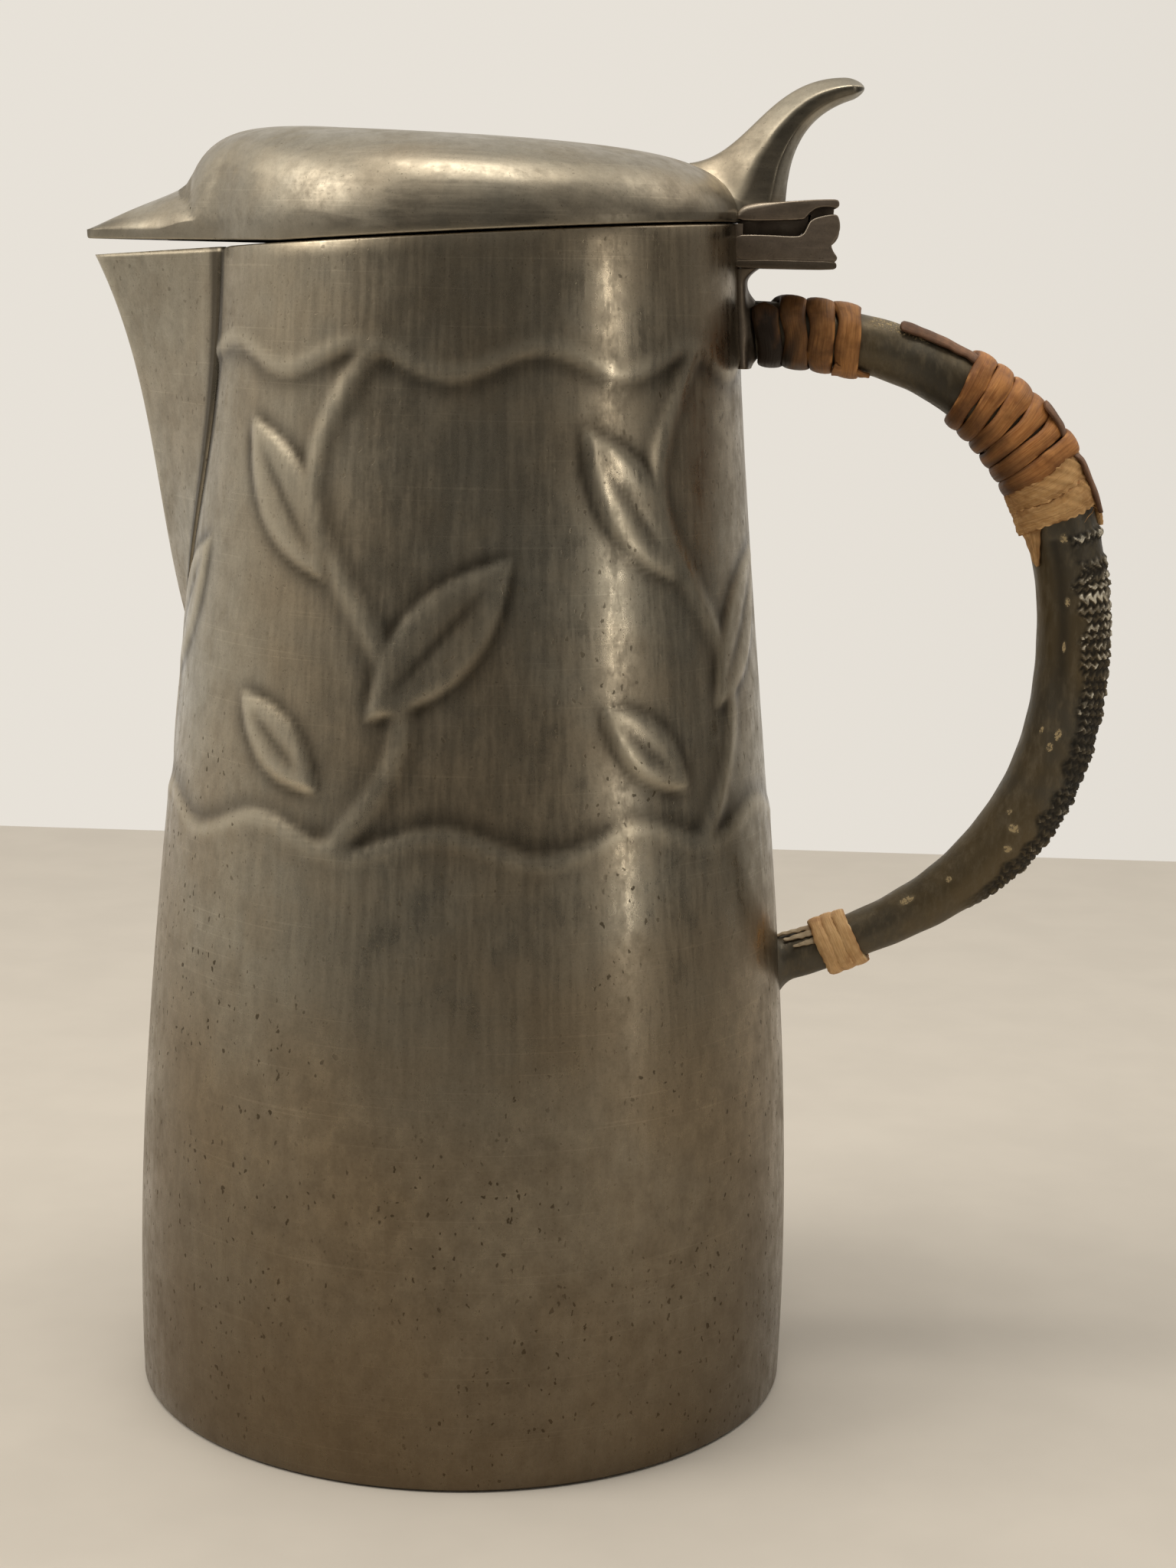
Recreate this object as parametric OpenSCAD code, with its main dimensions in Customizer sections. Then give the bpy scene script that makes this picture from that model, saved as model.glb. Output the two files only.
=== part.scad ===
// Pewter flagon with a hinged lid, a beak spout and a cane-wrapped handle.
// Millimetres. The origin is the centre of the face it rests on, +Z is up,
// the handle points to +X and the spout to -X.

/* [Body] */
// Radius of the foot
base_r = 58; // [54:0.5:62]
// Radius that the lower wall swells towards
belly_r = 60.5; // [57:0.5:65]
// Radius that the upper wall draws in towards
neck_r = 47.8; // [45:0.1:52]
// Radius of the rim
rim_r = 44.7; // [42:0.1:48]
// Height of the rim at the axis
rim_h = 202; // [195:1:215]
// Slope of the rim, up towards the handle, in degrees
rim_slope = 3.8; // [2:0.2:5]
// Thickness of the wall
wall = 1.8; // [1.4:0.1:2.6]
// Thickness of the base plate
base_t = 2.5; // [1.5:0.1:5]

/* [Spout] */
// Reach of the lip beyond the rim
spout_reach = 21; // [16:0.5:26]
// Reach that its middle draws in towards
spout_waist = 9.5; // [7:0.5:12]
// Reach that its lower end holds
spout_heel = 8; // [6:0.5:10]
// Height from the lip to the lower point
spout_drop = 64; // [50:1:75]
// Half-width of the seam at the rim
spout_half_w = 19; // [15:0.5:21]
// Half-width that the seam swells towards below the rim
seam_swell = 22; // [19:0.5:24]
// Half-width that the seam holds above its point
seam_heel = 20; // [16:0.5:22]
// Radius of the nose edge
nose_r = 1.6; // [1:0.1:3]
// Thickness of the spout's sheet
spout_t = 1.5; // [1:0.1:2.2]

/* [Lid] */
// Height of the dome at the axis
dome_h = 16.3; // [12:0.1:22]
// Fall of the dome towards the handle, in degrees
dome_fall = 6; // [2:0.5:8]
// How far the dome's front stands past the rim
dome_front = 4.3; // [2:0.1:7]
// Squareness of the dome's shoulder
dome_power = 5; // [3:0.1:6]
// Squareness of the dome's front
dome_front_power = 7.3; // [5:0.1:9]
// Height of the beak at its tip
beak_tip_h = 4.4; // [3.6:0.1:6]
// Rise of the beak from its tip to the dome, in degrees
beak_rise = 17; // [12:1:22]
// How far the lid stands past the rim
lid_lip = 0.3; // [0:0.1:1.5]
// How far the beak stands past the spout
beak_lip = 1; // [0:0.1:3]
// Distance from the axis to where the beak starts to lift off the rim
lift_start = 29; // [20:1:40]
// Lift of the beak off the rim, in degrees
lift_a = 3.7; // [0:0.1:5]
// Thickness of the lid
lid_t = 1.8; // [1.4:0.1:2.6]
// Height of the lid's edge
lid_edge = 1.5; // [1:0.1:3]
// Width of the flat that sits on the rim
lid_rim_w = 3; // [2.2:0.1:4]
// Length of the beak that is left solid
beak_solid = 12; // [8:0.5:14]
// Gap between the closed lid and the rim
seat_gap = 0.3; // [0.2:0.05:0.6]

/* [Thumbpiece] */
// Height of the horn's end above the rim plane
thumb_h = 21.5; // [17:0.1:25]
// How far the horn's end stands past the hinge axis
thumb_reach = 7.4; // [2:0.1:9]
// Distance from the hinge axis back to the middle of its foot
thumb_back = 13; // [11:0.5:14]
// Lean of its lower curve
thumb_lean = 4.2; // [2:0.1:6]
// Sweep of its upper curve
thumb_sweep = 8.2; // [6:0.1:10]
// Half-thickness of its foot
thumb_foot = 7.2; // [6:0.1:8.5]
// Half-thickness of its tip
thumb_tip = 2; // [1.5:0.1:3]
// Half-width of its foot
thumb_foot_w = 6.5; // [5:0.1:8]
// Half-width of its neck
thumb_neck_w = 3.6; // [2.5:0.1:5]
// Half-width of its tip
thumb_tip_w = 4.6; // [3:0.1:6]

/* [Hinge] */
// Distance from the rim to the hinge axis
hinge_out = 14; // [13:0.1:16]
// Drop of the hinge axis below the rim plane
hinge_drop = 1.8; // [1.2:0.1:2.4]
// Width of the hinge
hinge_w = 16; // [13:0.5:22]
// Width of the lid's middle knuckle
knuckle_w = 6.4; // [4:0.2:8]
// Radius of the knuckles
knuckle_r = 2.8; // [2.4:0.1:3.2]
// Radius of the pin
pin_r = 1.1; // [0.8:0.1:1.5]
// Radial clearance of the pin in the lid's knuckle
pin_clear = 0.06; // [0.02:0.01:0.1]
// Radial clearance of the pin in the body's knuckles
pin_seat = 0.02; // [0.01:0.01:0.05]
// Wall left in front of the blind end of the pin
pin_blind = 1.2; // [0.8:0.1:2]
// Side gap between knuckles
knuckle_gap = 0.3; // [0.2:0.05:0.6]
// Clear space between the knuckles and the hood over them
hood_gap = 1.2; // [0.8:0.1:1.6]
// Height of the lid leaf above the rim plane
leaf_top = 3.5; // [3:0.1:5]
// How far the hood reaches past the axis
hood_reach = 2.3; // [1:0.1:3]
// Chamfer on the hood's edge
hood_chamfer = 0.5; // [0.2:0.1:0.8]
// Depth of the body leaf from its top to its foot
body_leaf_d = 5.5; // [4.6:0.1:8]
// Drop of the body leaf's top below the axis
body_leaf_drop = 0.9; // [0.4:0.1:1.4]
// Thickness of the flange along the body leaf's foot
flange_t = 1.8; // [1:0.1:2.4]
// How far the flange stands out at each side
flange_w = 0.5; // [0.2:0.1:1.5]
// How far the flange reaches past the axis
flange_reach = 2.7; // [2:0.1:3.5]

/* [Handle] */
// Drop from the rim to the handle's upper root
handle_drop = 14.6; // [13:0.2:22]
// Height of the grip's outermost point
handle_mid_z = 134; // [125:1:145]
// Height of the handle's lower root
handle_low_z = 76.4; // [70:0.2:85]
// Distance from the axis to the grip's centre line
handle_reach = 104.5; // [96:0.5:114]
// Straightness of the upper arm
upper_pull = 44; // [38:1:50]
// Straightness of the grip above its outermost point
grip_up = 30; // [25:1:36]
// Straightness of the grip below its outermost point
grip_down = 28; // [22:1:34]
// Straightness of the lower arm
lower_pull = 37; // [28:1:44]
// Rise of the lower arm at the root
lower_rise = 11; // [6:0.5:15]
// Radius of the core at the upper root
root_r = 4.9; // [4:0.1:5.6]
// Radius of the core at the grip
grip_r = 6.1; // [5:0.1:7]
// Radius of the core at the lower root
stub_r = 4; // [3.2:0.1:5]
// Distance along the core from the upper root to where it starts to swell
swell_from = 24; // [15:1:35]
// Distance along the core from the upper root to where it is full
swell_to = 56; // [45:1:65]
// Distance along the core from the lower root to where it starts to thin
thin_from = 56; // [46:1:70]
// Distance along the core from the lower root to where it is thinnest
thin_to = 14; // [10:1:35]
// Distance along the core from the lower root to the end of the burrs
burr_end = 32; // [24:1:50]
// Height of the rasped burrs
burr_h = 1; // [0.6:0.1:1.6]
// Spacing of the burrs along the core
burr_pitch = 5; // [4:0.5:8]
// Thickness of the strap behind the upper root
strap_t = 1.2; // [0.8:0.1:1.8]
// Width of the strap
strap_w = 14; // [12.5:0.5:18]
// Length of strap left below the upper root
strap_tail = 1.5; // [0.5:0.1:4]

/* [Cane] */
// Thickness of the cane
cane_t = 1; // [0.7:0.05:1.2]
// Gap between the cane and the core
cane_gap = 0.15; // [0.1:0.01:0.25]
// Gap between turns, along the core's axis
turn_gap = 0.56; // [0.52:0.01:0.8]
// Gap between the strap and the upper winding
upper_start = 0.4; // [0.3:0.1:2]
// Turns of the upper winding
upper_turns = 3.4; // [2:0.1:4]
// Pitch of the upper winding
upper_pitch = 4.6; // [4:0.1:5]
// Distance along the core from the upper root to the middle winding
middle_start = 37; // [34:0.5:43]
// Turns of the middle winding
middle_turns = 6; // [3:0.1:7]
// Pitch of the middle winding
middle_pitch = 3.5; // [3.2:0.1:4]
// Turns of the pale fibre band
fibre_turns = 2.2; // [1.5:0.1:2.6]
// Pitch of the pale fibre band
fibre_pitch = 4.2; // [3.2:0.1:4.6]
// Thickness of the fibre band
fibre_t = 0.8; // [0.5:0.05:1]
// Distance along the core from the lower root to the lower winding
lower_start = 7.5; // [6:0.1:9]
// Turns of the lower winding
lower_turns = 1.6; // [1:0.2:2.5]
// Pitch of the lower winding
lower_pitch = 3.6; // [3.2:0.1:4]
// Width of the loose strips
strip_w = 3; // [2:0.1:3.6]
// Length of the loose strip on top of the core
top_strip_l = 14; // [8:0.5:15]
// Angle of the top strip round the core, from its outer side
top_strip_a = 28; // [0:1:50]
// Rise of the loose strip's free end
top_strip_rise = 0.8; // [0.3:0.1:1.4]
// Length of the loose strip on the side of the middle winding
side_strip_l = 19; // [10:0.5:22]
// Angle of the side strip round the core, from its outer side
side_strip_a = 24; // [0:1:60]
// Length of the loose end under the upper winding
tail_l = 7; // [4:0.5:10]

/* [Motion] */
// Angle of the lid in the drawn model
lid_open = 0; // [0:1:105]

/* [Hidden] */
$fn = 96;

pewter = [0.47, 0.44, 0.38];
dark_metal = [0.33, 0.30, 0.26];
core_metal = [0.21, 0.21, 0.19];
cane = [0.60, 0.36, 0.18];
dark_cane = [0.34, 0.20, 0.11];
pale_fibre = [0.68, 0.50, 0.32];

// Small overlap of cutting shapes past the faces they cut
over = 1;
// Gap left for solder between parts that are let into each other
solder = 0.05;
// Bands that make up the curve of the wall
wall_bands = 24;
spout_rings = 12;
// The spout's sheet ends at this part of its drop, and its hollow at the other
spout_end_share = 0.99;
hollow_end_share = 0.82;
// Share of the hollow's length by which its cut runs past the lip
hollow_past_share = 0.15;
// Depth of the nose's sheet along the beak, as a share of its thickness
nose_share = 1.3;
// Points of the spout's inside from the seam to the nose
inside_steps = 6;
// Least half-widths of the spout's outside and inside, at its point
point_w = 0.4;
point_in_w = 0.2;
thumb_rings = 18;
thumb_sides = 20;
core_rings = 100;
core_sides = 16;
turn_rings = 24;
strip_rings = 10;
// Share of its width that the loose end of the upper winding loses
tail_taper = 0.4;

// Wall of the body

function bez(a, b, c, d, t) =
  a * (1 - t)^3 + 3 * b * t * (1 - t)^2 + 3 * c * t^2 * (1 - t) + d * t^3;
function smooth(t) = let(k = min(1, max(0, t))) k * k * (3 - 2 * k);
function body_r(z) = bez(base_r, belly_r, neck_r, rim_r, z / rim_h);
function rim_z(x) = rim_h + x * tan(rim_slope);

// Top of the uncut wall, above the high side of the rim
wall_top = rim_z(rim_r) + 2 * over;
wall_z = [for (i = [0:wall_bands]) wall_top * i / wall_bands];
// Reach of the whole object, for cutting blocks
span = handle_reach + rim_h;

module revolved_wall(grow) {
  outline = [for (z = wall_z) [body_r(z) + grow, z]];
  rotate_extrude() polygon(concat([[0, 0]], outline, [[0, wall_top]]));
}

module revolved_hollow() {
  foot = [[0, -over], [base_r - wall, -over], [base_r - wall, base_t]];
  curve = [for (z = wall_z) if (z > base_t) [body_r(z) - wall, z]];
  top = [[body_r(wall_top) - wall, wall_top + over], [0, wall_top + over]];
  rotate_extrude() polygon(concat(foot, curve, top));
}

module on_rim() {
  translate([0, 0, rim_h]) rotate([0, -rim_slope, 0]) children();
}

module above_rim() {
  on_rim() translate([-span, -span, 0]) cube(2 * span);
}

// Skin over a list of rings with as many points each, closed by a fan at both ends.
// Rings run counter-clockwise seen from the last one.
function middle(ring) = [for (k = [0:2]) [for (p = ring) p[k]] * [for (p = ring) 1] / len(ring)];

module skin(rings) {
  n = len(rings[0]);
  m = len(rings);
  points = concat([for (r = rings) each r], [middle(rings[0]), middle(rings[m - 1])]);
  sides = [
    for (j = [0:m - 2], i = [0:n - 1]) let(
      a = j * n + i, b = j * n + (i + 1) % n
    ) each [[a, a + n, b + n], [a, b + n, b]]
  ];
  first = [for (i = [0:n - 1]) [m * n, i, (i + 1) % n]];
  last = [for (i = [0:n - 1]) [m * n + 1, (m - 1) * n + (i + 1) % n, (m - 1) * n + i]];
  polyhedron(points, concat(sides, first, last));
}

// Spout: level sections of a beak with flat sides and a round nose, counted from the lip down

lip_z = rim_z(-(rim_r + spout_reach));
function spout_z(t) = lip_z - spout_drop * t;
function spout_out(t) = bez(spout_reach, spout_waist, spout_heel, 0, t);
function seam_w(t) = bez(spout_half_w, seam_swell, seam_heel, 0, t);

// Half-section of the hollow at t, carried into the wall by a depth
function hollow_half_w(t) = max(point_w, seam_w(t) - spout_t);
function hollow_nose(t) = body_r(spout_z(t)) + spout_out(t) - nose_share * spout_t;
function hollow_section(t, depth) = let(
  r = body_r(spout_z(t)),
  w = hollow_half_w(t),
  seam = sqrt(r * r - w * w),
  corners = [[r - depth, -w], [seam, -w], [hollow_nose(t), 0], [seam, w], [r - depth, w]]
) [for (p = corners) [-p[0], -p[1], spout_z(t)]];

// Level at t: rings near the lip lean over to lie in the plane of the rim
function ring_z(t, x) = spout_z(t) + (rim_z(-x) - lip_z) * max(0, 1 - 2 * t);
// Point of a section at distance x and side y, kept clear of the wall
function off_wall(t, x, y) = let(
  z = ring_z(t, x),
  d = norm([x, y]),
  k = max(1, (body_r(z) + solder) / d)
) [-k * x, -k * y, z];

// Sheet section at t: outside from seam to seam round the nose, then back along the inside
function spout_ring(t) = let(
  r = body_r(spout_z(t)),
  nose = r + spout_out(t),
  w = max(point_w, seam_w(t)),
  seam = sqrt(r * r - w * w),
  slant = atan2(w, nose - seam),
  nr = min(nose_r, w / 2, (nose - seam) / 3),
  arc = [
    for (k = [-1:0.5:1]) let(a = k * (90 - slant)) [nose - nr + nr * cos(a), nr * sin(a)]
  ],
  in_w = max(point_in_w, w - spout_t),
  in_seam = sqrt(r * r - in_w * in_w),
  in_nose = hollow_nose(t),
  inside = [
    for (i = [inside_steps:-1:-inside_steps]) let(
      k = i / inside_steps
    ) [in_nose + (in_seam - in_nose) * abs(k), in_w * k]
  ]
) [for (p = concat([[seam, -w]], arc, [[seam, w]], inside)) off_wall(t, p[0], p[1])];

spout_shell = [for (i = [spout_rings:-1:0]) spout_ring(spout_end_share * i / spout_rings)];

module spout_hollow() {
  skin([
    for (i = [spout_rings:-1:0]) let(
      k = (1 + hollow_past_share) * i / spout_rings - hollow_past_share
    ) hollow_section(hollow_end_share * k, wall + 3 * over)
  ]);
}

// Lid, in the plane of the rim: angles are counted from the spout

lid_r = rim_r + lid_lip;
lid_tip = rim_r + spout_reach + beak_lip;
beak_a = asin((spout_half_w + beak_lip) / lid_r);
tip_w = nose_r + beak_lip / 2;
tip_a = atan2(tip_w, lid_tip);
beak_foot = [lid_r * cos(beak_a), lid_r * sin(beak_a)];
// The hollow under the lid stops short of the beak's tip
hollow_tip = lid_tip - beak_solid;

function cross2(p, q) = p[0] * q[1] - p[1] * q[0];

// Distance from the axis to the lid's edge at an angle
function lid_reach(a) = let(
  dir = [cos(a), sin(abs(a))],
  side = [lid_tip, tip_w] - beak_foot,
  u = -cross2(beak_foot, dir) / cross2(side, dir)
) abs(a) >= beak_a ? lid_r : abs(a) <= tip_a ? lid_tip / cos(a) : norm(beak_foot + u * side);

// Steps of angle along the beak's side and round the rest of the lid
beak_steps = 6;
round_steps = 17;
half_angles = concat(
  [for (i = [0:beak_steps]) tip_a + (beak_a - tip_a) * i / beak_steps],
  [for (i = [1:round_steps]) beak_a + (180 - beak_a) * i / round_steps]
);
lid_angles = concat(
  half_angles, [for (i = [len(half_angles) - 2:-1:0]) 360 - half_angles[i]]
);
function turned(a) = a > 180 ? a - 360 : a;

function lid_under(x) = seat_gap + max(0, x - lift_start) * tan(lift_a);
// Curve of the dome's shoulder, and how tightly its front follows the beak
shoulder = 0.42;
front_power = 4;
// Distance over which the dome and the beak run together
blend = 0.77;
// Least thickness of metal left over the hollow's edge
hollow_edge = 0.5;
function dome_reach(a) = lid_r + dome_front * max(0, cos(a))^front_power;
function dome_square(a) = dome_power + (dome_front_power - dome_power) * max(0, cos(a))^2;
function dome_z(x, y) = let(
  a = atan2(y, x),
  u = min(1, norm([x, y]) / dome_reach(a))
) (dome_h + x * tan(dome_fall)) * (1 - u^dome_square(a))^shoulder;
function beak_w(x) = let(
  k = (x - beak_foot[0]) / (lid_tip - beak_foot[0])
) max(tip_w, beak_foot[1] + (tip_w - beak_foot[1]) * k);
function beak_z(x, y) = let(
  ridge = beak_tip_h + min(lid_tip - x, spout_reach) * tan(beak_rise),
  low = lid_under(x) + lid_edge
) low + (ridge - low) * (1 - min(1, abs(y) / beak_w(x))^2);
// The higher of two heights, blended over a short distance
function blend_max(a, b) = (a + b + sqrt((a - b)^2 + blend^2)) / 2;
function lid_top(x, y) = max(
  lid_under(x) + lid_edge, x > 0 ? blend_max(dome_z(x, y), beak_z(x, y)) : dome_z(x, y)
);

function lid_point(a, r, z) = [-r * cos(a), -r * sin(a), z];
function top_ring(k) = [
  for (b = lid_angles) let(
    a = turned(b), r = k * lid_reach(a)
  ) lid_point(a, r, lid_top(r * cos(a), r * sin(a)))
];
function under_ring(reach) = [
  for (i = [0:len(lid_angles) - 1]) let(
    a = turned(lid_angles[i])
  ) lid_point(a, reach[i], lid_under(reach[i] * cos(a)))
];
edge_reach = [for (b = lid_angles) lid_reach(turned(b))];
hollow_reach = [
  for (b = lid_angles) let(
    a = turned(b), far = lid_reach(a) - lid_rim_w
  ) cos(a) * far > hollow_tip ? hollow_tip / cos(a) : far
];
function hollow_ring(k) = [
  for (i = [0:len(lid_angles) - 1]) let(
    a = turned(lid_angles[i]),
    r = k * hollow_reach[i],
    x = r * cos(a)
  ) lid_point(a, r, max(lid_under(x) + hollow_edge, lid_top(x, r * sin(a)) - lid_t))
];

// Parts of the way out to the edge: close together at the shoulder and where the dome meets the beak
top_steps = [1, 0.985, 0.955, 0.91, 0.85, 0.79, 0.745, 0.715, 0.68, 0.6, 0.45, 0.25];
hollow_steps = [0.25, 0.5, 0.75, 0.9, 0.97, 1];
lid_outside = [for (k = top_steps) top_ring(k)];

module lid_block() {
  on_rim() skin(concat([under_ring(edge_reach)], lid_outside));
}

// Upright block on the lid's plan, through the height of its edge and of the hinge leaf
module lid_plan_block(h) {
  plan = [for (i = [0:len(lid_angles) - 1]) -edge_reach[i] * [cos(lid_angles[i]), sin(lid_angles[i])]];
  on_rim() translate([0, 0, -over]) linear_extrude(h + 2 * over) polygon(plan);
}

// Hinge

hinge_x = (rim_r + hinge_out) * cos(rim_slope);
hinge_z = rim_z(hinge_x) - hinge_drop / cos(rim_slope);
// The axis in the plane of the rim
axis_x = hinge_x * cos(rim_slope) + (hinge_z - rim_h) * sin(rim_slope);
axis_z = (hinge_z - rim_h) * cos(rim_slope) - hinge_x * sin(rim_slope);
hood_r = knuckle_r + hood_gap;
hood_t = leaf_top - axis_z - hood_r;
body_leaf_top = hinge_z - body_leaf_drop;
flange_top = body_leaf_top - body_leaf_d + flange_t;
// Width of the slot for the lid's knuckle
slot_w = knuckle_w + 2 * knuckle_gap;
// The lid leaf is drawn from inside the lid's edge
leaf_from = lid_r - hinge_w / 4;

module opened() {
  axis = [hinge_x, 0, hinge_z];
  translate(axis) rotate([0, lid_open, 0]) translate(-axis) children();
}

// Flat outline in X and Z, given a width across Y about the middle
module across(width) {
  rotate([90, 0, 0]) linear_extrude(width, center = true) children();
}

module along_axis(r, from, to) {
  translate([hinge_x, from, hinge_z]) rotate([-90, 0, 0]) cylinder(r = r, h = to - from);
}

module lid_leaf_plate() {
  on_rim() across(hinge_w) difference() {
    polygon([
      [leaf_from, seat_gap],
      [axis_x + hood_reach, seat_gap],
      [axis_x + hood_reach, leaf_top - hood_chamfer],
      [axis_x + hood_reach - hood_chamfer, leaf_top],
      [leaf_from, leaf_top]
    ]);
    translate([axis_x, axis_z]) circle(hood_r);
  }
}

// Thumbpiece: oval sections along one curve in the plane of the handle

thumb_foot_x = axis_x - thumb_back;
// Heights of the curve's middle points, as shares of the horn's height
lean_share = 0.67;
sweep_share = 1.01;
// Share of its foot's thickness that the horn keeps above the foot
foot_share = 0.86;
// The tip is rounded off from this part of the length, down to this part of its size
round_share = 0.9;
tip_share = 0.17;
// Roundness of its sections, where 1 is an ellipse
horn_round = 0.85;
thumb_path = [
  [thumb_foot_x, 0], [thumb_foot_x + thumb_lean, lean_share * thumb_h],
  [thumb_foot_x + thumb_sweep, sweep_share * thumb_h], [axis_x + thumb_reach, thumb_h]
];
function thumb_at(t) = bez(thumb_path[0], thumb_path[1], thumb_path[2], thumb_path[3], t);
function thumb_dir(t) = let(d = thumb_at(t + 0.001) - thumb_at(t - 0.001)) d / norm(d);
function round_end(t) = let(
  k = max(0, (t - round_share) / (1 - round_share))
) sqrt(max(tip_share^2, 1 - k * k));
function thumb_half(t) = bez(thumb_foot, foot_share * thumb_foot, thumb_tip, thumb_tip, t) * round_end(t);
function thumb_wide(t) = bez(thumb_foot_w, thumb_neck_w, thumb_neck_w, thumb_tip_w, t) * round_end(t);
// Cosine or sine drawn out towards a rounded box
function squared(c) = sign(c) * abs(c)^horn_round;
function thumb_ring(t) = let(
  c = thumb_at(t), d = thumb_dir(t)
) [
  for (i = [0:thumb_sides - 1]) let(
    a = 360 * i / thumb_sides,
    u = thumb_half(t) * squared(cos(a)),
    v = thumb_wide(t) * squared(sin(a))
  ) [c[0] - u * d[1], -v, c[1] + u * d[0]]
];

// Handle: a round core along two curves, and what is wound on it

handle_top_z = rim_h - handle_drop;
root_x = body_r(handle_top_z) + strap_t / 2;
stub_x = body_r(handle_low_z) - wall / 2;
function handle_at(u) = u < 1
  ? bez([root_x, handle_top_z], [root_x + upper_pull, handle_top_z],
      [handle_reach, handle_mid_z + grip_up], [handle_reach, handle_mid_z], u)
  : bez([handle_reach, handle_mid_z], [handle_reach, handle_mid_z - grip_down],
      [stub_x + lower_pull, handle_low_z + lower_rise], [stub_x, handle_low_z], u - 1);

handle_steps = 120;
handle_u = [for (i = [0:handle_steps]) 2 * i / handle_steps];
handle_runs = [
  for (i = 0, s = 0; i <= handle_steps;
    s = i < handle_steps ? s + norm(handle_at(handle_u[i + 1]) - handle_at(handle_u[i])) : s, i = i + 1) s
];
handle_l = handle_runs[handle_steps];
handle_table = [for (i = [0:handle_steps]) [handle_runs[i], handle_u[i]]];

// Point and direction at a distance along the centre line
function line_at(s) = handle_at(lookup(s, handle_table));
function line_dir(s) = let(
  step = handle_l / handle_steps / 2,
  d = line_at(min(handle_l, s + step)) - line_at(max(0, s - step))
) d / norm(d);

// The core swells from the upper root to the grip and thins to the lower root
function core_r(s) = root_r + (grip_r - root_r) * smooth((s - swell_from) / (swell_to - swell_from))
  - (grip_r - stub_r) * smooth((s - handle_l + thin_from) / (thin_from - thin_to));

// Place at s along the core, at angle a from its outer side and radius r
function round_core(s, a, r) = let(
  c = line_at(s), d = line_dir(s)
) [c[0] - r * cos(a) * d[1], -r * sin(a), c[1] + r * cos(a) * d[0]];

// Angles round the core where the windings start, the near side being 90
upper_a = 40;
middle_a = 270;
lower_a = 0;
// Angle between the end of the middle winding and the fibre band that follows it
fibre_break = 24;
upper_s = strap_t / 2 + upper_start + (upper_pitch - turn_gap) / 2;
middle_s = middle_start + (middle_pitch - turn_gap) / 2;
middle_end_s = middle_s + middle_turns * middle_pitch;
middle_end_a = middle_a + 360 * middle_turns;
fibre_s = middle_end_s + middle_pitch * fibre_break / 360;
fibre_end_s = fibre_s + fibre_turns * fibre_pitch;
lower_s = handle_l - lower_start - (lower_pitch - turn_gap) / 2 - lower_turns * lower_pitch;
burr_from = fibre_end_s + fibre_pitch / 2;
burr_to = handle_l - burr_end;
// Half-angle of the rasped strip, the angle over which it fades, and the depth of its notches
burr_half_a = 75;
burr_fade = 30;
burr_notch = 0.35;
function burr(s, a) = let(
  along = smooth((s - burr_from) / burr_pitch) * smooth((burr_to - s) / burr_pitch),
  around = smooth((burr_half_a - abs(turned(a))) / burr_fade)
) burr_h * along * around * (1 - burr_notch + burr_notch * cos(360 * s / burr_pitch));

function core_ring(s) = [
  for (i = [0:core_sides - 1]) let(a = 360 * i / core_sides) round_core(s, a, core_r(s) + burr(s, a))
];

// Flattened six-sided section of a strip, across and through
strip_flat = 0.36;
function strip_section(w, t) = let(
  f = strip_flat * w, h = t / 2
) [[w / 2, 0], [f, h], [-f, h], [-w / 2, 0], [-f, -h], [f, -h]];

// One ring of a winding at s and angle a, with the strip's width along the core
function wound_ring(s, a, w, t) = [
  for (p = strip_section(w, t)) round_core(s + p[0], a, core_r(s) + cane_gap + t / 2 + p[1])
];
function shifted(ring, by) = [for (p = ring) p + by];
// Both ends run on straight for one thickness
function winding(first_s, pitch, turns, first_a, t) = let(
  w = pitch - turn_gap,
  n = ceil(turns * turn_rings),
  rings = [
    for (i = [0:n]) let(k = turns * i / n) wound_ring(first_s + pitch * k, first_a + 360 * k, w, t)
  ],
  head = middle(rings[0]) - middle(rings[1]),
  tail = middle(rings[n]) - middle(rings[n - 1])
) concat(
  [shifted(rings[0], t * head / norm(head))], rings, [shifted(rings[n], t * tail / norm(tail))]
);
// Least distance between points of neighbouring turns
function least_gap(rings) = min([
  for (i = [0:len(rings) - turn_rings]) let(
    j = min(len(rings) - 1, i + turn_rings)
  ) each [for (p = rings[i], q = rings[j]) norm(p - q)]
]);

// Flat strip along the core at angle a, with a rise that varies along it
function strip_ring(s, a, r, w, t) = [
  for (p = strip_section(w, t)) let(
    turn = 180 / PI * p[0] / r
  ) round_core(s, a + turn, r - p[1])
];

upper_rings = winding(upper_s, upper_pitch, upper_turns, upper_a, cane_t);
middle_rings = winding(middle_s, middle_pitch, middle_turns, middle_a, cane_t);
fibre_rings = winding(fibre_s, fibre_pitch, fibre_turns, middle_end_a + fibre_break, fibre_t);
lower_rings = winding(lower_s, lower_pitch, lower_turns, lower_a, cane_t);
echo(least_gap_upper_cane_wrap = least_gap(upper_rings));
echo(least_gap_middle_cane_wrap = least_gap(middle_rings));
echo(least_gap_fibre_band = least_gap(fibre_rings));
echo(least_gap_lower_cane_wrap = least_gap(lower_rings));

module body_shell() {
  color(pewter) difference() {
    revolved_wall(0);
    revolved_hollow();
    spout_hollow();
    above_rim();
  }
}

module base_plate() {
  color(pewter) cylinder(r = base_r - wall - solder, h = base_t);
}

module spout() {
  color(pewter) skin(spout_shell);
}

module lid() {
  hollow = [for (k = hollow_steps) hollow_ring(k)];
  color(pewter) opened() on_rim() skin(concat(
    hollow, [under_ring(hollow_reach), under_ring(edge_reach)], lid_outside
  ));
}

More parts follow.
